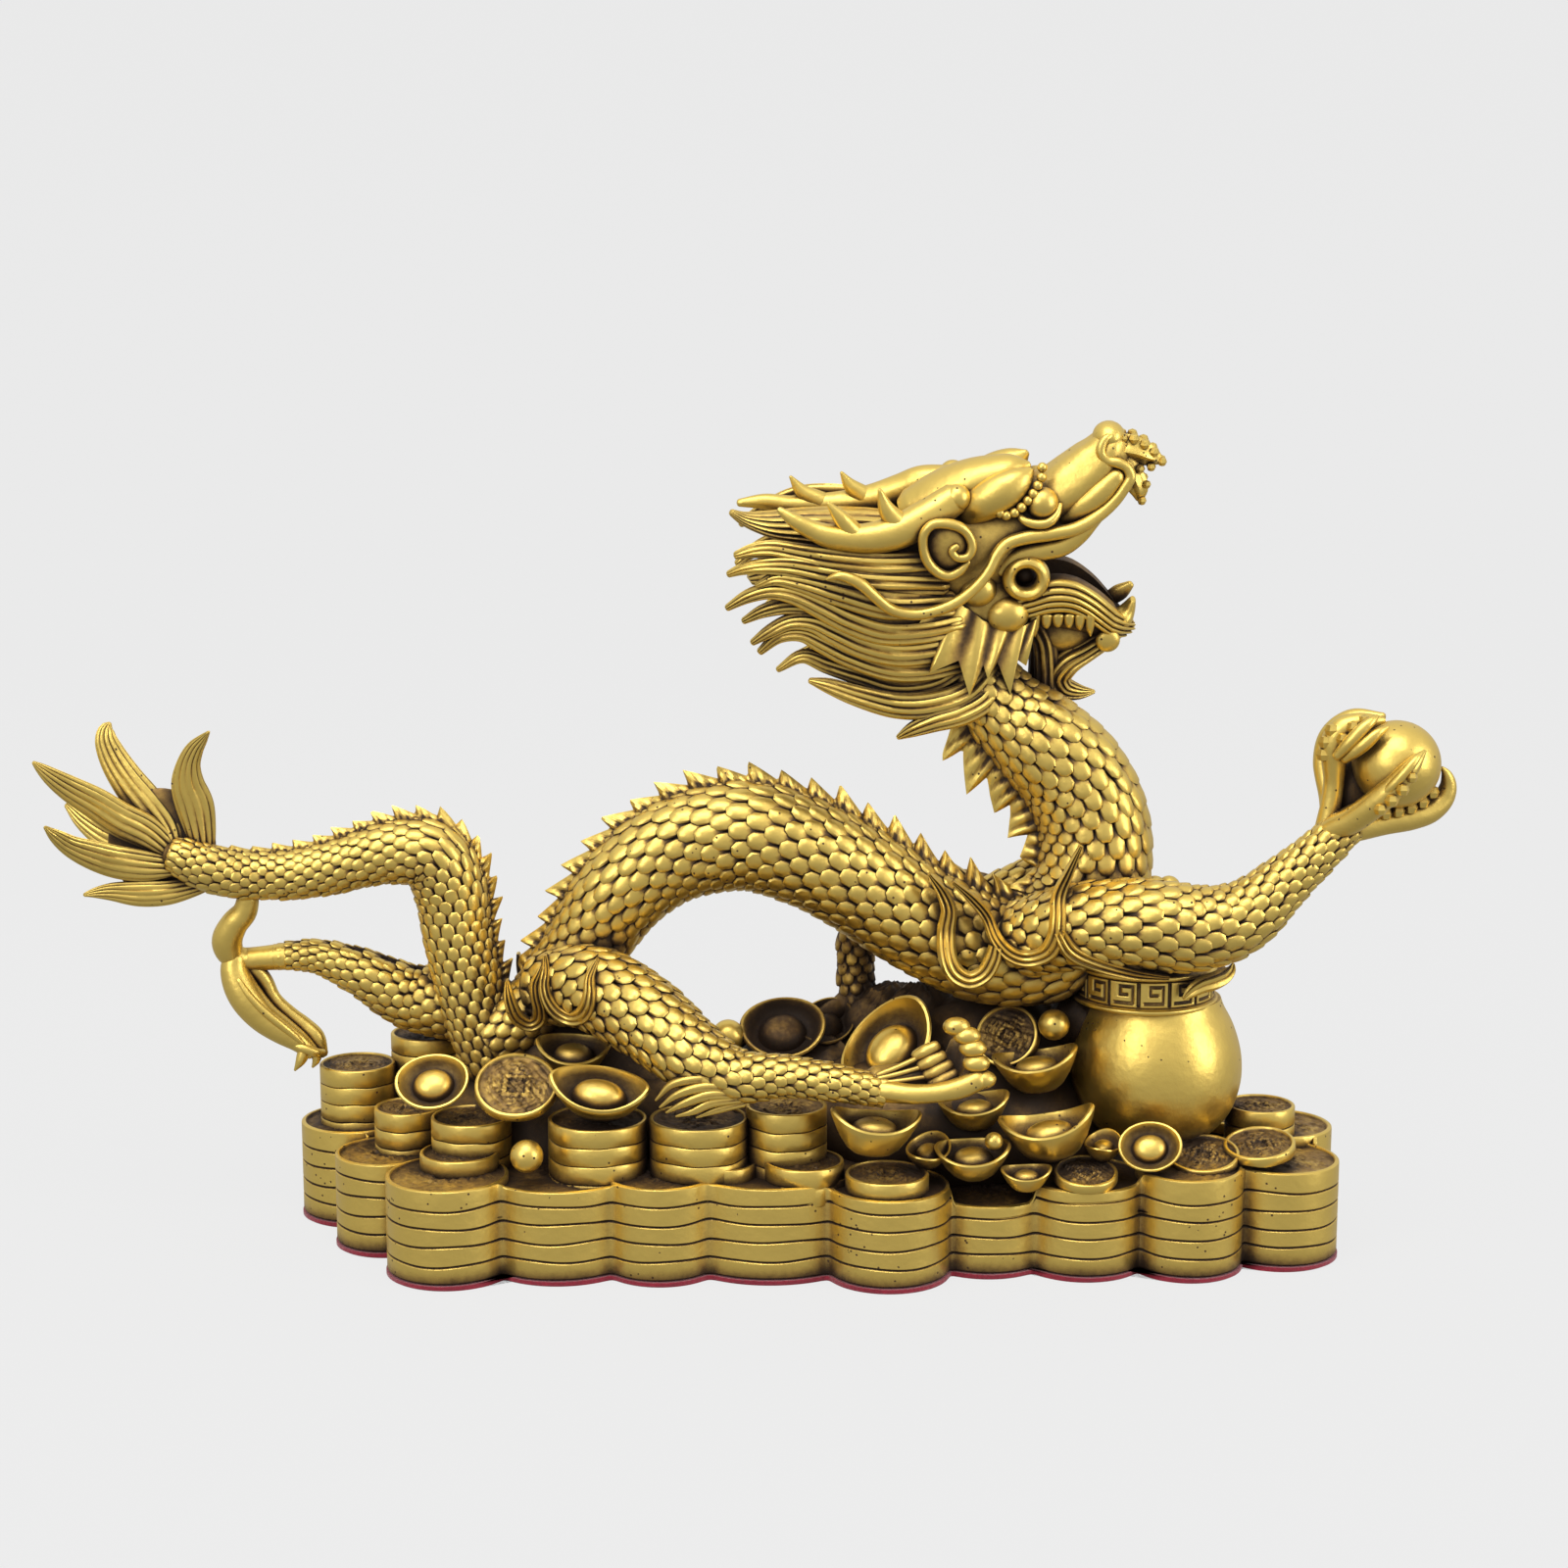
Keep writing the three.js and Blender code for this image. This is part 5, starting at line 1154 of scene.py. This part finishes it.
def fret_collar(x, y, bottom, top, radius, pitch):
    """A band whose radius sinks by 0.5 on the Greek key's lines, between two thick rims. Heights v run
    from 0 to 1 over the band, and the rims stand outside it."""
    cells = round(TAU * radius / pitch)
    v = np.linspace(-0.3, 1.3, FRET_ROWS)[:, None]
    a = TAU * np.arange(cells * FRET_COLUMNS) / (cells * FRET_COLUMNS)
    u = (a * cells / TAU) % 1
    u = np.where(u > 0.9, u - 1, u)
    gap = np.full((len(v), len(a)), 9.0)
    for u0, v0, u1, v1 in FRET:
        du = np.maximum(np.maximum(min(u0, u1) - u, u - max(u0, u1)), 0)
        dv = np.maximum(np.maximum(min(v0, v1) - v, v - max(v0, v1)), 0)
        gap = np.minimum(gap, np.maximum(1.25 * du, dv))
    field = (v > 0.02) & (v < 0.98)
    cut = np.where(field, 1 - np.clip((gap - FRET_LINE) / FRET_SLOPE, 0, 1), 0)
    edge = np.exp(-(((v + 0.04) / 0.03) ** 2)) + np.exp(-(((v - 1.04) / 0.03) ** 2))
    lip = np.exp(-(((v + 0.19) / 0.11) ** 4)) + np.exp(-(((v - 1.19) / 0.11) ** 4))
    r = radius - FRET_DEPTH * cut - 0.4 * edge + 0.9 * lip
    z = bottom + (top - bottom) * v + 0 * a
    grid = np.stack([x + r * np.cos(a), y + r * np.sin(a), z], -1)
    return closed(grid, [x, y, z[0, 0]], [x, y, z[-1, 0]], 0.95 * cut + 0.6 * edge - 0.08)


def head_place(points):
    """Leans the head to the shown side: a turn by SKULL_ROLL about the x axis at SKULL_PIVOT_Z."""
    c, s = np.cos(SKULL_ROLL), np.sin(SKULL_ROLL)
    y, z = points[:, 1], points[:, 2] - SKULL_PIVOT_Z
    return np.stack([points[:, 0], y * c - z * s, SKULL_PIVOT_Z + z * c + y * s], -1)


def front_of(limbs, x, z):
    """y of the limbs' shown side at x and z: for each limb the nearest station's middle less width / (y
    of side, at least 0.6) * sqrt(1 - (height over the middle / half height) ** 2, at least 0.2) and 0.3
    more for the scales, and the foremost of them."""
    best = np.full(x.shape, 1e3)
    for path in limbs:
        near = np.argmin((x[..., None] - path.table[:, 0]) ** 2 + (z[..., None] - path.table[:, 2]) ** 2, -1)
        v = path.table[near]
        mid_x, mid_y, mid_z = (v[..., i] for i in range(3))
        over_x, _, over_z = (v[..., OVER][..., i] for i in range(3))
        over = ((x - mid_x) * over_x + (z - mid_z) * over_z) / v[..., HIGH]
        reach = v[..., WIDE] / np.maximum(v[..., SIDE][..., 1], 0.6)
        best = np.minimum(best, mid_y - reach * np.sqrt(np.clip(1 - over**2, 0.2, 1)) - 0.3)
    return best


def band(stations, limbs, side, out, thick=1.5, step=0.7, sunk=1.6, passes=8):
    """A flat ribbon of three ridges on the body's skin, evened out along the ribbon and moved out by out:
    its section runs across the line by half width * u, and stands thick * (1 - u ** 8) * (0.75 + 0.25 *
    cos(3 pi u)) in front of the skin."""
    path = Path([[x, 0, z, w] for x, z, w in stations])
    s, u = np.meshgrid(np.arange(0, path.length, step), np.linspace(-1, 1, 19), indexing="ij")
    v = path.at(s)
    place = v[..., MIDDLE] + v[..., OVER] * (v[..., WIDE] * u)[..., None]
    x, z = place[..., 0], place[..., 2]
    skin = front_of(limbs, x, z) - out
    skin = 0.5 * skin + 0.5 * skin.mean(1, keepdims=True)
    for _ in range(passes):
        skin[1:-1] = 0.25 * skin[:-2] + 0.5 * skin[1:-1] + 0.25 * skin[2:]
    ridge = np.cos(3 * np.pi * u)
    taper = np.clip(v[..., WIDE] / 1.4, 0.3, 1)
    y = skin - thick * taper * (1 - u**8) * (0.75 + 0.25 * ridge)
    front = np.stack([x, side * y, z], -1)
    back = front[:, ::-3][:, 1:-1] * 1.0
    back[..., 1] = side * (skin[:, ::-3][:, 1:-1] + sunk + out)
    dark = 0.02 + 0.75 * np.clip(-ridge, 0, 1) ** 2 * (np.abs(u) < 0.9)
    dark = np.hstack([dark, np.full(back.shape[:2], 1.0)])
    grid = np.concatenate([front, back], 1)
    return closed(grid, grid[0].mean(0), grid[-1].mean(0), dark)


def wall_between(upper, lower, ridges, bulge, deep, side, rows=52, forward=1.4):
    """A wall whose outside goes from one line to the other with bulge * sin(pi v) and ridges of 0.8, and
    whose inside lies deep behind it. Over its last fifth it also bends forward."""
    a, b = Path(upper), Path(lower)
    share = np.linspace(0, 1, rows)
    top, foot = (path.at(share * path.length)[:, None, MIDDLE] for path in (a, b))
    v = np.linspace(0, 1, 8 * ridges + 1)[None, :, None]
    out = top * (1 - v) + foot * v
    wave = np.abs(np.sin(ridges * np.pi * v[..., 0])) ** 0.7
    tip = np.clip((share - 0.8) / 0.2, 0, 1)[:, None] + 0 * out[..., 0]
    away = np.stack([forward * tip, 0.6 * tip - 1, 0 * tip], -1)
    back = out[:, ::-4] - away[:, ::-4] * deep
    out = out + away * (bulge * np.sin(np.pi * v[..., 0]) + 0.8 * wave)[..., None]
    grid = np.concatenate([out, back], 1) * [1, side, 1]
    dark = np.hstack([1.0 * (1 - wave) ** 1.5 + 0 * share[:, None], np.full(back.shape[:2], 1.0)])
    return closed(grid, grid[0].mean(0), grid[-1].mean(0), dark)


def fan(root, edge, side, deep=2.4, rows=101):
    """A webbed sheet from its root to a zigzag edge: straight lines between points of the two, with v
    from 0 to 1. Ribs of 1.5 * sin(pi (0.1 + 0.9 v)) ** 0.7 run to every second point of the edge,
    beginning with the first, and its inside lies deep behind it."""
    at = np.linspace(0, len(root) - 1, rows)
    base, tips = (
        np.stack([np.interp(at, np.arange(len(line)), np.array(line)[:, i]) for i in range(3)], -1)
        for line in (root, edge)
    )
    v = np.linspace(0, 1, 15)[None, :, None]
    out = base[:, None] * (1 - v) + tips[:, None] * v
    back = out[:, ::-2] * 1.0
    back[..., 1] += deep * (1 - 0.7 * v[:, ::-2, 0])
    rib = np.abs(np.cos(0.5 * np.pi * at))[:, None] ** 1.6 + 0 * v[..., 0]
    out[..., 1] -= 1.5 * rib * np.sin(np.pi * np.clip(0.1 + 0.9 * v[..., 0], 0, 1)) ** 0.7
    grid = np.concatenate([out, back], 1) * [1, side, 1]
    dark = np.hstack([1.05 - 1.0 * rib, np.full(back.shape[:2], 1.0)])
    return closed(grid, grid[0].mean(0), grid[-1].mean(0), dark)


# Colours along the ramps, each [position, colour]: brass by how dark its patina and painted shade are, felt,
# and the studio's air
PATINA_AND_SHADE_COLOURS = [
    [0, (0.86, 0.62, 0.155)], [0.28, (0.62, 0.41, 0.095)], [0.5, (0.34, 0.2, 0.055)],
    [0.72, (0.12, 0.065, 0.022)], [1, (0.026, 0.013, 0.006)],
]
FELT_COLOURS = [[0, (0.16, 0.004, 0.015)], [1, (0.4, 0.014, 0.04)]]
AIR_COLOURS = [[0, (0.3,) * 3], [0.42, (0.46,) * 3], [0.6, (0.6,) * 3], [1, (0.85,) * 3]]
# Painted shade of hollows, where patina also gathers: its reach in metres and its rays, the openness
# under which it is painted, and its weight
NARROW_SHADE = [0.005, 5, 0.76, 1.28]
BROAD_SHADE = [0.026, 4, 0.66, 0.95]
LEAST_BROAD = -0.12
# Noises in the patina, each [scale, detail, weight]
SLOW_STAINS = [85, 4, 0.85]
FINE_STAINS = [700, 5, 0.42]
# Pits of the casting: how many there are, how large each is, and where they gather
PIT_SCALE, PIT_SIZE = 420, 0.13
PIT_FIELD, PIT_FIELD_SCALE = 0.56, 60
PIT_DARK = 0.8


def set_ramp(ramp, colours):
    """Puts the colours on a new ramp, which already has a stop at each end."""
    stops = ramp.color_ramp.elements
    for position, _ in colours[1:-1]:
        stops.new(position)
    for stop, (_, colour) in zip(stops, colours):
        stop.color = (*colour, 1)


def brass():
    """Bright brass where it is rubbed, dark brown patina and painted shade in the hollows. Their share is
    the mesh's own value of patina and painted shade plus the painted shade of narrow and of broad hollows
    and two noises, and it sets colour, metal and roughness. Small pits are darker still."""
    mat = bpy.data.materials.new("rubbed_brass")
    mat.use_nodes = True
    nodes, links = mat.node_tree.nodes, mat.node_tree.links
    nodes.clear()

    def node(kind, **values):
        made = nodes.new(kind)
        for key, value in values.items():
            if key in made.inputs:
                made.inputs[key].default_value = value
            else:
                setattr(made, key, value)
        return made

    def math(kind, a, b, clamp=False):
        made = node("ShaderNodeMath", operation=kind, use_clamp=clamp)
        for i, value in enumerate([a, b]):
            if isinstance(value, (int, float)):
                made.inputs[i].default_value = value
            else:
                links.new(value, made.inputs[i])
        return made.outputs[0]

    def noise(scale, detail):
        made = node("ShaderNodeTexNoise", Scale=scale, Detail=detail)
        links.new(place.outputs["Object"], made.inputs["Vector"])
        return made.outputs["Fac"]

    def shade(reach, rays, openness, weight):
        made = node("ShaderNodeAmbientOcclusion", Distance=reach, samples=rays)
        return math("MULTIPLY", math("SUBTRACT", openness, made.outputs["AO"]), weight)

    def stains(scale, detail, weight):
        return math("MULTIPLY", math("SUBTRACT", noise(scale, detail), 0.5), weight)

    place = node("ShaderNodeTexCoord")
    own = node("ShaderNodeAttribute", attribute_name="patina").outputs["Fac"]
    # Painted shade of narrow and broad hollows, where patina also gathers
    hollow = math("ADD", shade(*NARROW_SHADE), math("MAXIMUM", shade(*BROAD_SHADE), LEAST_BROAD))
    noises = math("ADD", stains(*SLOW_STAINS), stains(*FINE_STAINS))
    dark = math("ADD", math("ADD", own, hollow), noises, clamp=True)
    pits = node("ShaderNodeTexVoronoi", Scale=PIT_SCALE)
    links.new(place.outputs["Object"], pits.inputs["Vector"])
    pit = math("LESS_THAN", pits.outputs["Distance"], PIT_SIZE)
    pit = math("MULTIPLY", pit, math("GREATER_THAN", noise(PIT_FIELD_SCALE, 2), PIT_FIELD))
    dark = math("MAXIMUM", dark, math("MULTIPLY", pit, PIT_DARK))

    ramp = node("ShaderNodeValToRGB")
    set_ramp(ramp, PATINA_AND_SHADE_COLOURS)
    links.new(dark, ramp.inputs["Fac"])
    shader = node("ShaderNodeBsdfPrincipled")
    links.new(ramp.outputs["Color"], shader.inputs["Base Color"])
    links.new(math("SUBTRACT", 1.0, math("MULTIPLY", dark, 0.7)), shader.inputs["Metallic"])
    uneven = math("ADD", math("MULTIPLY", noise(150, 3), 0.16), 0.3)
    links.new(math("ADD", math("MULTIPLY", dark, 0.3), uneven), shader.inputs["Roughness"])
    bump = node("ShaderNodeBump", Strength=0.35, Distance=0.0004)
    links.new(math("SUBTRACT", noise(420, 6), math("MULTIPLY", pit, 0.9)), bump.inputs["Height"])
    links.new(bump.outputs["Normal"], shader.inputs["Normal"])
    links.new(shader.outputs["BSDF"], node("ShaderNodeOutputMaterial").inputs["Surface"])
    return mat


def felt():
    """Dark red felt with short fibres."""
    mat = bpy.data.materials.new("red_felt_cloth")
    mat.use_nodes = True
    nodes, links = mat.node_tree.nodes, mat.node_tree.links
    shader = nodes["Principled BSDF"]
    shader.inputs["Roughness"].default_value = 0.95
    shader.inputs["Sheen Weight"].default_value = 0.4
    place = nodes.new("ShaderNodeTexCoord")
    grain = nodes.new("ShaderNodeTexNoise")
    grain.inputs["Scale"].default_value = 1400
    links.new(place.outputs["Object"], grain.inputs["Vector"])
    ramp = nodes.new("ShaderNodeValToRGB")
    set_ramp(ramp, FELT_COLOURS)
    links.new(grain.outputs["Fac"], ramp.inputs["Fac"])
    links.new(ramp.outputs["Color"], shader.inputs["Base Color"])
    bump = nodes.new("ShaderNodeBump")
    bump.inputs["Strength"].default_value = 0.6
    bump.inputs["Distance"].default_value = 0.0004
    links.new(grain.outputs["Fac"], bump.inputs["Height"])
    links.new(bump.outputs["Normal"], shader.inputs["Normal"])
    return mat


BRASS = brass()
FELT = felt()


def piece(name, shells, material=BRASS, node="dragon_casting", crease=38):
    """One object from its shells, with the patina and painted shade as an attribute. It rides on the one
    body, and takes the place of its node. Edges sharper than crease degrees stay sharp."""
    starts = np.cumsum([0] + [len(s.points) for s in shells])
    points = np.vstack([s.points for s in shells]) * MM
    quads = np.vstack([s.quads + k for s, k in zip(shells, starts)])
    tris = np.vstack([s.tris + k for s, k in zip(shells, starts)])
    loops = np.concatenate([quads.ravel(), tris.ravel()])
    begin = np.concatenate([4 * np.arange(len(quads)), 4 * len(quads) + 3 * np.arange(len(tris))])
    mesh = bpy.data.meshes.new(name)
    mesh.vertices.add(len(points))
    mesh.vertices.foreach_set("co", points.astype(np.float32).ravel())
    mesh.loops.add(len(loops))
    mesh.loops.foreach_set("vertex_index", loops.astype(np.int32))
    mesh.polygons.add(len(begin))
    mesh.polygons.foreach_set("loop_start", begin.astype(np.int32))
    mesh.update(calc_edges=True)
    mesh.validate()
    # Patina and painted shade of every point
    patina = np.concatenate([s.patina for s in shells]).astype(np.float32)
    mesh.attributes.new("patina", "FLOAT", "POINT").data.foreach_set("value", patina)
    mesh.shade_smooth()
    mesh.set_sharp_from_angle(angle=np.radians(crease))
    mesh.materials.append(material)
    made = bpy.data.objects.new(name, mesh)
    bpy.context.scene.collection.objects.link(made)
    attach(made, "root")
    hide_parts(node)
    print(name, len(quads) * 2 + len(tris), "triangles")


# The bed of coins, its felt and the treasure on it
piece("coin_bed", [bed_wall()] + [
    stack(x, y, radius - 0.3, top, top - TOP_COIN, sides=60, seed=1.7 * i)
    for i, (x, y, radius, top) in enumerate(BED_EDGE)
])
piece("coin_stacks", [
    stack(x, y, radius, top, top - LAYER * round((top - TIER_FOOT) / LAYER), seed=2.3 * i)
    for i, (x, y, radius, top) in enumerate(UPPER_STACKS)
])
bed_edge, way_out, *_ = bed_line()
piece("felt_underlay", [slab(bed_edge + FELT_OUT * way_out, FELT_LEVELS)], FELT, "base_felt")
# Mounds under the ingots, painted dark as shade
mounds = [heap(*h) for h in COIN_HEAPS + FILL_HEAPS]
piece("treasure_heap", mounds + [coin for h in COIN_HEAPS for coin in strewn_coins(*h)])
# Painted shade: the ingots behind are darkened all over
shaded_ingots = [ingot(*i) for i in SHADED_INGOTS]
for shell in shaded_ingots:
    shell.patina = np.minimum(shell.patina + 1.0, 1.15)
piece("ingots", [ingot(*i) for i in INGOTS] + shaded_ingots)
piece("loose_coins", [loose_coin(*c, seed=0.4 * i) for i, c in enumerate(COINS)])
piece("small_pearls", [ball(*p, patina=-0.05) for p in PEARLS])

# The money pot
smooth_pot = Path([[r, 0, z, 1] for r, z in POT_PROFILE]).table[:, [0, 2]]
pot = lathe(*POT_AXIS, smooth_pot, 100)
# Painted shade: the pot darkens over its lowest 8 mm, down to its foot
pot.patina = -0.22 + 0.5 * np.clip((31 - pot.points[:, 2]) / 8, 0, 1)
piece("money_pot", [pot], crease=60)
leaf = tube(Path(COLLAR_LEAF), 24, 0.5, lobes(6, -0.2), lambda s, a: 0.5 * (np.cos(6 * a) > 0.6))
piece("pot_collar", [
    fret_collar(*COLLAR_AXIS, *COLLAR_BAND, COLLAR_RADIUS, FRET_PITCH),
    # The neck inside the collar and the mass above it are painted dark as shade
    lathe(*COLLAR_AXIS, INNER_NECK, patina=1.0), leaf, ball(*NECK_SHADE, 1.0),
], crease=50)

# The dragon's body
trunk = Path(TRUNK, TRUNK_CREST)
tail = Path(TAIL, TAIL_CREST)
piece("dragon_trunk", scaled(TRUNK, 17, -1, np.radians(32), extra=TRUNK_CREST))
piece("dragon_tail", scaled(TAIL, 15, -1, np.radians(26), extra=TAIL_CREST))
piece("dragon_legs", [
    *scaled(NEAR_HIND_LEG, 13, 1), *scaled(FAR_HIND_LEG, 13, 1), *scaled(ARM, 14, 1),
    # The far foreleg, painted darker all over as shade
    *scaled(FAR_ARM, 11, 1, painted_shade=0.55), *scaled(FAR_SHOULDER, 12, 1),
    *[ball(*k, patina=0.1) for k in SHOULDER_KNOBS],
    ball(*FAR_SHOULDER[-1][:3], FAR_SHOULDER[-1][3] + 0.6, patina=0.15),
])
neck_start = Path(TRUNK[:NECK_STATION]).length
piece("dragon_crest", [
    crest(tail, 5.6, 8, tail.length - 8, thick=1.5, lean=0.6), crest(trunk, 7.8, 20, neck_start, thick=2.2),
    crest(trunk, 9.4, neck_start - 6, trunk.length - 14, thick=1.7, lean=0.12, low=0.42, sharp=0.95),
], crease=30)
piece("tail_fin", [hair(line, 12, 0.24, 0.9, 0.1) for line in FIN_LOBES] + [ball(*FIN_WEB, 0.95, 48, 30)])
piece("flame_ribbons", [
    band(line, [Path(limb) for limb in limbs], side, out)
    for lines, limbs, side, out in [
        [SHOULDER_RIBBONS, [TRUNK, ARM], 1, SHOULDER_OUT],
        [HIP_RIBBONS, [TRUNK, NEAR_HIND_LEG], 1, HIP_OUT],
        [SHOULDER_RIBBONS, [flip(TRUNK), flip(FAR_SHOULDER)], -1, 0.0],
        [HIP_RIBBONS, [flip(TRUNK), flip(FAR_HIND_LEG)], -1, HIP_OUT],
    ]
    for line in lines
])
piece("feet", [
    plain(NEAR_TOE), plain(NEAR_SOLE, dark=0.8), *[ball(*k, *KNUCKLE_RADII) for k in KNUCKLES],
    *[plain(line, 14, 0.5, 0.5) for line in INNER_TOES + TENDONS],
    *[hair(line, 4, 0.2, 0.6) for line in HOCK_TUFT],
    *[plain(line, 20, 0.8, 0.06) for line in FAR_HIND_TOES],
    # Toes of the far forefoot, painted dark all over as shade
    *[tube(Path(line), 18, 0.5, bulbs(6, 0.1), 1.0) for line in FAR_FRONT_TOES],
])
piece("hand", [
    # The palm's hollow behind the pearl is painted darker as shade
    plain(PALM), ball(*PALM_HOLLOW, 0.6), *[plain(line, 20, 0.7) for line in FINGERS],
    *[plain(line, 14, 0.5, -0.1) for line in CLAWS], *[ball(*k, sides=6, rings=3) for k in KNURLS],
])
piece("held_pearl", [ball(*PEARL_CENTRE, PEARL_RADIUS, patina=-0.2, sides=72, rings=44)])

# The head, whose teeth are short tubes that hang from the jaw's lower edge
teeth = [
    [
        [x, k * 8.7, 164.4, 1.2, half], [x, k * 8.6, 0.5 * (z + 164), 1, 0.7 * half],
        [x + 0.3, k * 8, z + 1, 0.3, 0.25],
    ]
    for x, z, half in FRINGE for k in (1, -1)
]
head = [
    tube(Path(SKULL), 48, 1.0, lobes(6, 0.03), 0.32), ball(*NOSE), *both(SNOUT_RIDGE, plain),
    *pair(CHEEK_BASE, patina=0.4), *[b for knob in NOSE_KNOBS for b in pair(knob, sides=7, rings=3)],
    *[tube(Path(line), 24, 0.6, lobes(5, -0.14)) for line in NOSE_LEAVES], *both(UPPER_LIP, plain, 14, 0.5),
    *[wall_between(JAW_UPPER_EDGE, JAW_LOWER_EDGE, 5, 1.4, 4.0, k) for k in (1, -1)],
    plain(JAW_FLOOR, dark=0.9), plain(JAW_TIP), plain(JAW_FLAP, dark=0.4), ball(*MOUTH_FILL, 0.5),
    *[plain(line, 12, 0.5) for line in teeth], plain(CROWN, 36), *both(BROW, plain),
    *[ball(*bead, BEAD_RADIUS) for bead in BROW_BEADS + flip(BROW_BEADS[3:])],
    plain(ANTLER, 28), plain(FAR_ANTLER, 28), *[plain(line, 18, 0.5) for line in TINES],
    *pair(ANTLER_KNOB), *pair(EAR, patina=0.55), *both(EAR_RIM, plain, 14, 0.4),
    *both(MUSTACHE, plain, 16, 0.5), *[ball(*c) for c in CHEEKS + flip(CHEEKS)],
    *pair(EYE, patina=0.3), *both(EYELID, plain, 12, 0.4),
    *[ring(corner, *MOUTH_RING) for corner in (MOUTH_CORNER, *flip([MOUTH_CORNER]))],
    # A ball painted dark as shade fills the mouth behind the rings at its corners
    ball(MOUTH_CORNER[0], 0, MOUTH_CORNER[2], 4, 10, 4, 1.0), *pair(CHIN_KNOB),
    *[fan(FRILL_ROOT, FRILL_EDGE, k) for k in (1, -1)],
]
locks = [hair(line, 9, 0.3, base=0.12) for line in LOCKS]
back_locks = [hair(line, 14, 0.18, base=0.35) for line in CREST_LOCKS]
for name, shells in {
    "head": head,
    "beard": [hair(BEARD, 13, 0.22), hair(THROAT, 12, 0.18, base=0.5)],
    "mane": locks + back_locks,
    "far_mane": [hair(line, 9, 0.26, 1.2) for line in FAR_LOCKS],
}.items():
    piece(name, [s.moved(head_place) for s in shells])


# The studio: the floor's section, each [y, z] in metres, its half width, and the panels, each with its
# name, place, size and power
FLOOR_LINE = [[-2.2, 0], [1.2, 0], [1.6, 0.03], [1.95, 0.15], [2.2, 0.4], [2.3, 0.75], [2.3, 2.6]]
FLOOR_HALF = 3.0
PANELS = [
    ["panel_above", (-0.1, -0.45, 1.2), (0.9, 0.6), 6.2],
    ["panel_left", (-0.75, -0.95, 0.75), (0.45, 0.8), 4.6],
    ["panel_right", (1.1, -0.5, 0.45), (0.4, 0.8), 4.6],
]
PANEL_AIM = (0, 0, 0.09)
CAMERA_PLACE = (-0.008, -0.700, 0.240)
CAMERA_DOWN = 9.86
LENS, SENSOR = 63.95, 36


def floor():
    """A pale floor that curves up into a backdrop and glows evenly, so that it stays pale in the
    picture."""
    points = [(x, y, z) for y, z in FLOOR_LINE for x in (-FLOOR_HALF, FLOOR_HALF)]
    faces = [(2 * i, 2 * i + 1, 2 * i + 3, 2 * i + 2) for i in range(len(FLOOR_LINE) - 1)]
    mesh = bpy.data.meshes.new("floor_sweep")
    mesh.from_pydata(points, [], faces)
    mesh.shade_smooth()
    sweep = bpy.data.objects.new("floor_sweep", mesh)
    bpy.context.scene.collection.objects.link(sweep)
    paper = bpy.data.materials.new("pale_paper")
    paper.use_nodes = True
    shader = paper.node_tree.nodes["Principled BSDF"]
    shader.inputs["Base Color"].default_value = (0.04, 0.04, 0.04, 1)
    shader.inputs["Roughness"].default_value = 0.95
    shader.inputs["Specular IOR Level"].default_value = 0.0
    shader.inputs["Emission Color"].default_value = (1, 1, 1, 1)
    shader.inputs["Emission Strength"].default_value = 0.79
    mesh.materials.append(paper)
    sweep.visible_glossy = False
    sweep.visible_diffuse = False


def light_panel(name, place, size, power):
    """A soft rectangular light that faces the dragon."""
    light = bpy.data.lights.new(name, "AREA")
    light.shape = "RECTANGLE"
    light.size, light.size_y = size
    light.energy = power
    lamp = bpy.data.objects.new(name, light)
    lamp.location = place
    lamp.rotation_euler = (Vector(PANEL_AIM) - Vector(place)).to_track_quat("-Z", "Y").to_euler()
    bpy.context.scene.collection.objects.link(lamp)


def air():
    """Grey light from all round, brighter from above."""
    world = bpy.data.worlds.new("studio_air")
    bpy.context.scene.world = world
    world.use_nodes = True
    nodes, links = world.node_tree.nodes, world.node_tree.links
    way = nodes.new("ShaderNodeTexCoord")
    parts = nodes.new("ShaderNodeSeparateXYZ")
    ramp = nodes.new("ShaderNodeValToRGB")
    spread = nodes.new("ShaderNodeMapRange")
    spread.inputs["From Min"].default_value = -1
    links.new(way.outputs["Generated"], parts.inputs[0])
    links.new(parts.outputs["Z"], spread.inputs["Value"])
    links.new(spread.outputs[0], ramp.inputs["Fac"])
    set_ramp(ramp, AIR_COLOURS)
    links.new(ramp.outputs["Color"], nodes["Background"].inputs["Color"])
    nodes["Background"].inputs["Strength"].default_value = 1.0


def photo_camera():
    """The photograph's camera, which looks down a little from the front."""
    eye = bpy.data.cameras.new("photo_camera")
    eye.lens = LENS
    eye.sensor_width = SENSOR
    camera = bpy.data.objects.new("photo_camera", eye)
    camera.location = CAMERA_PLACE
    camera.rotation_euler = (np.radians(90 - CAMERA_DOWN), 0, 0)
    bpy.context.scene.collection.objects.link(camera)
    bpy.context.scene.camera = camera
    bpy.context.scene.view_settings.view_transform = "Standard"


floor()
for panel in PANELS:
    light_panel(*panel)
air()
photo_camera()
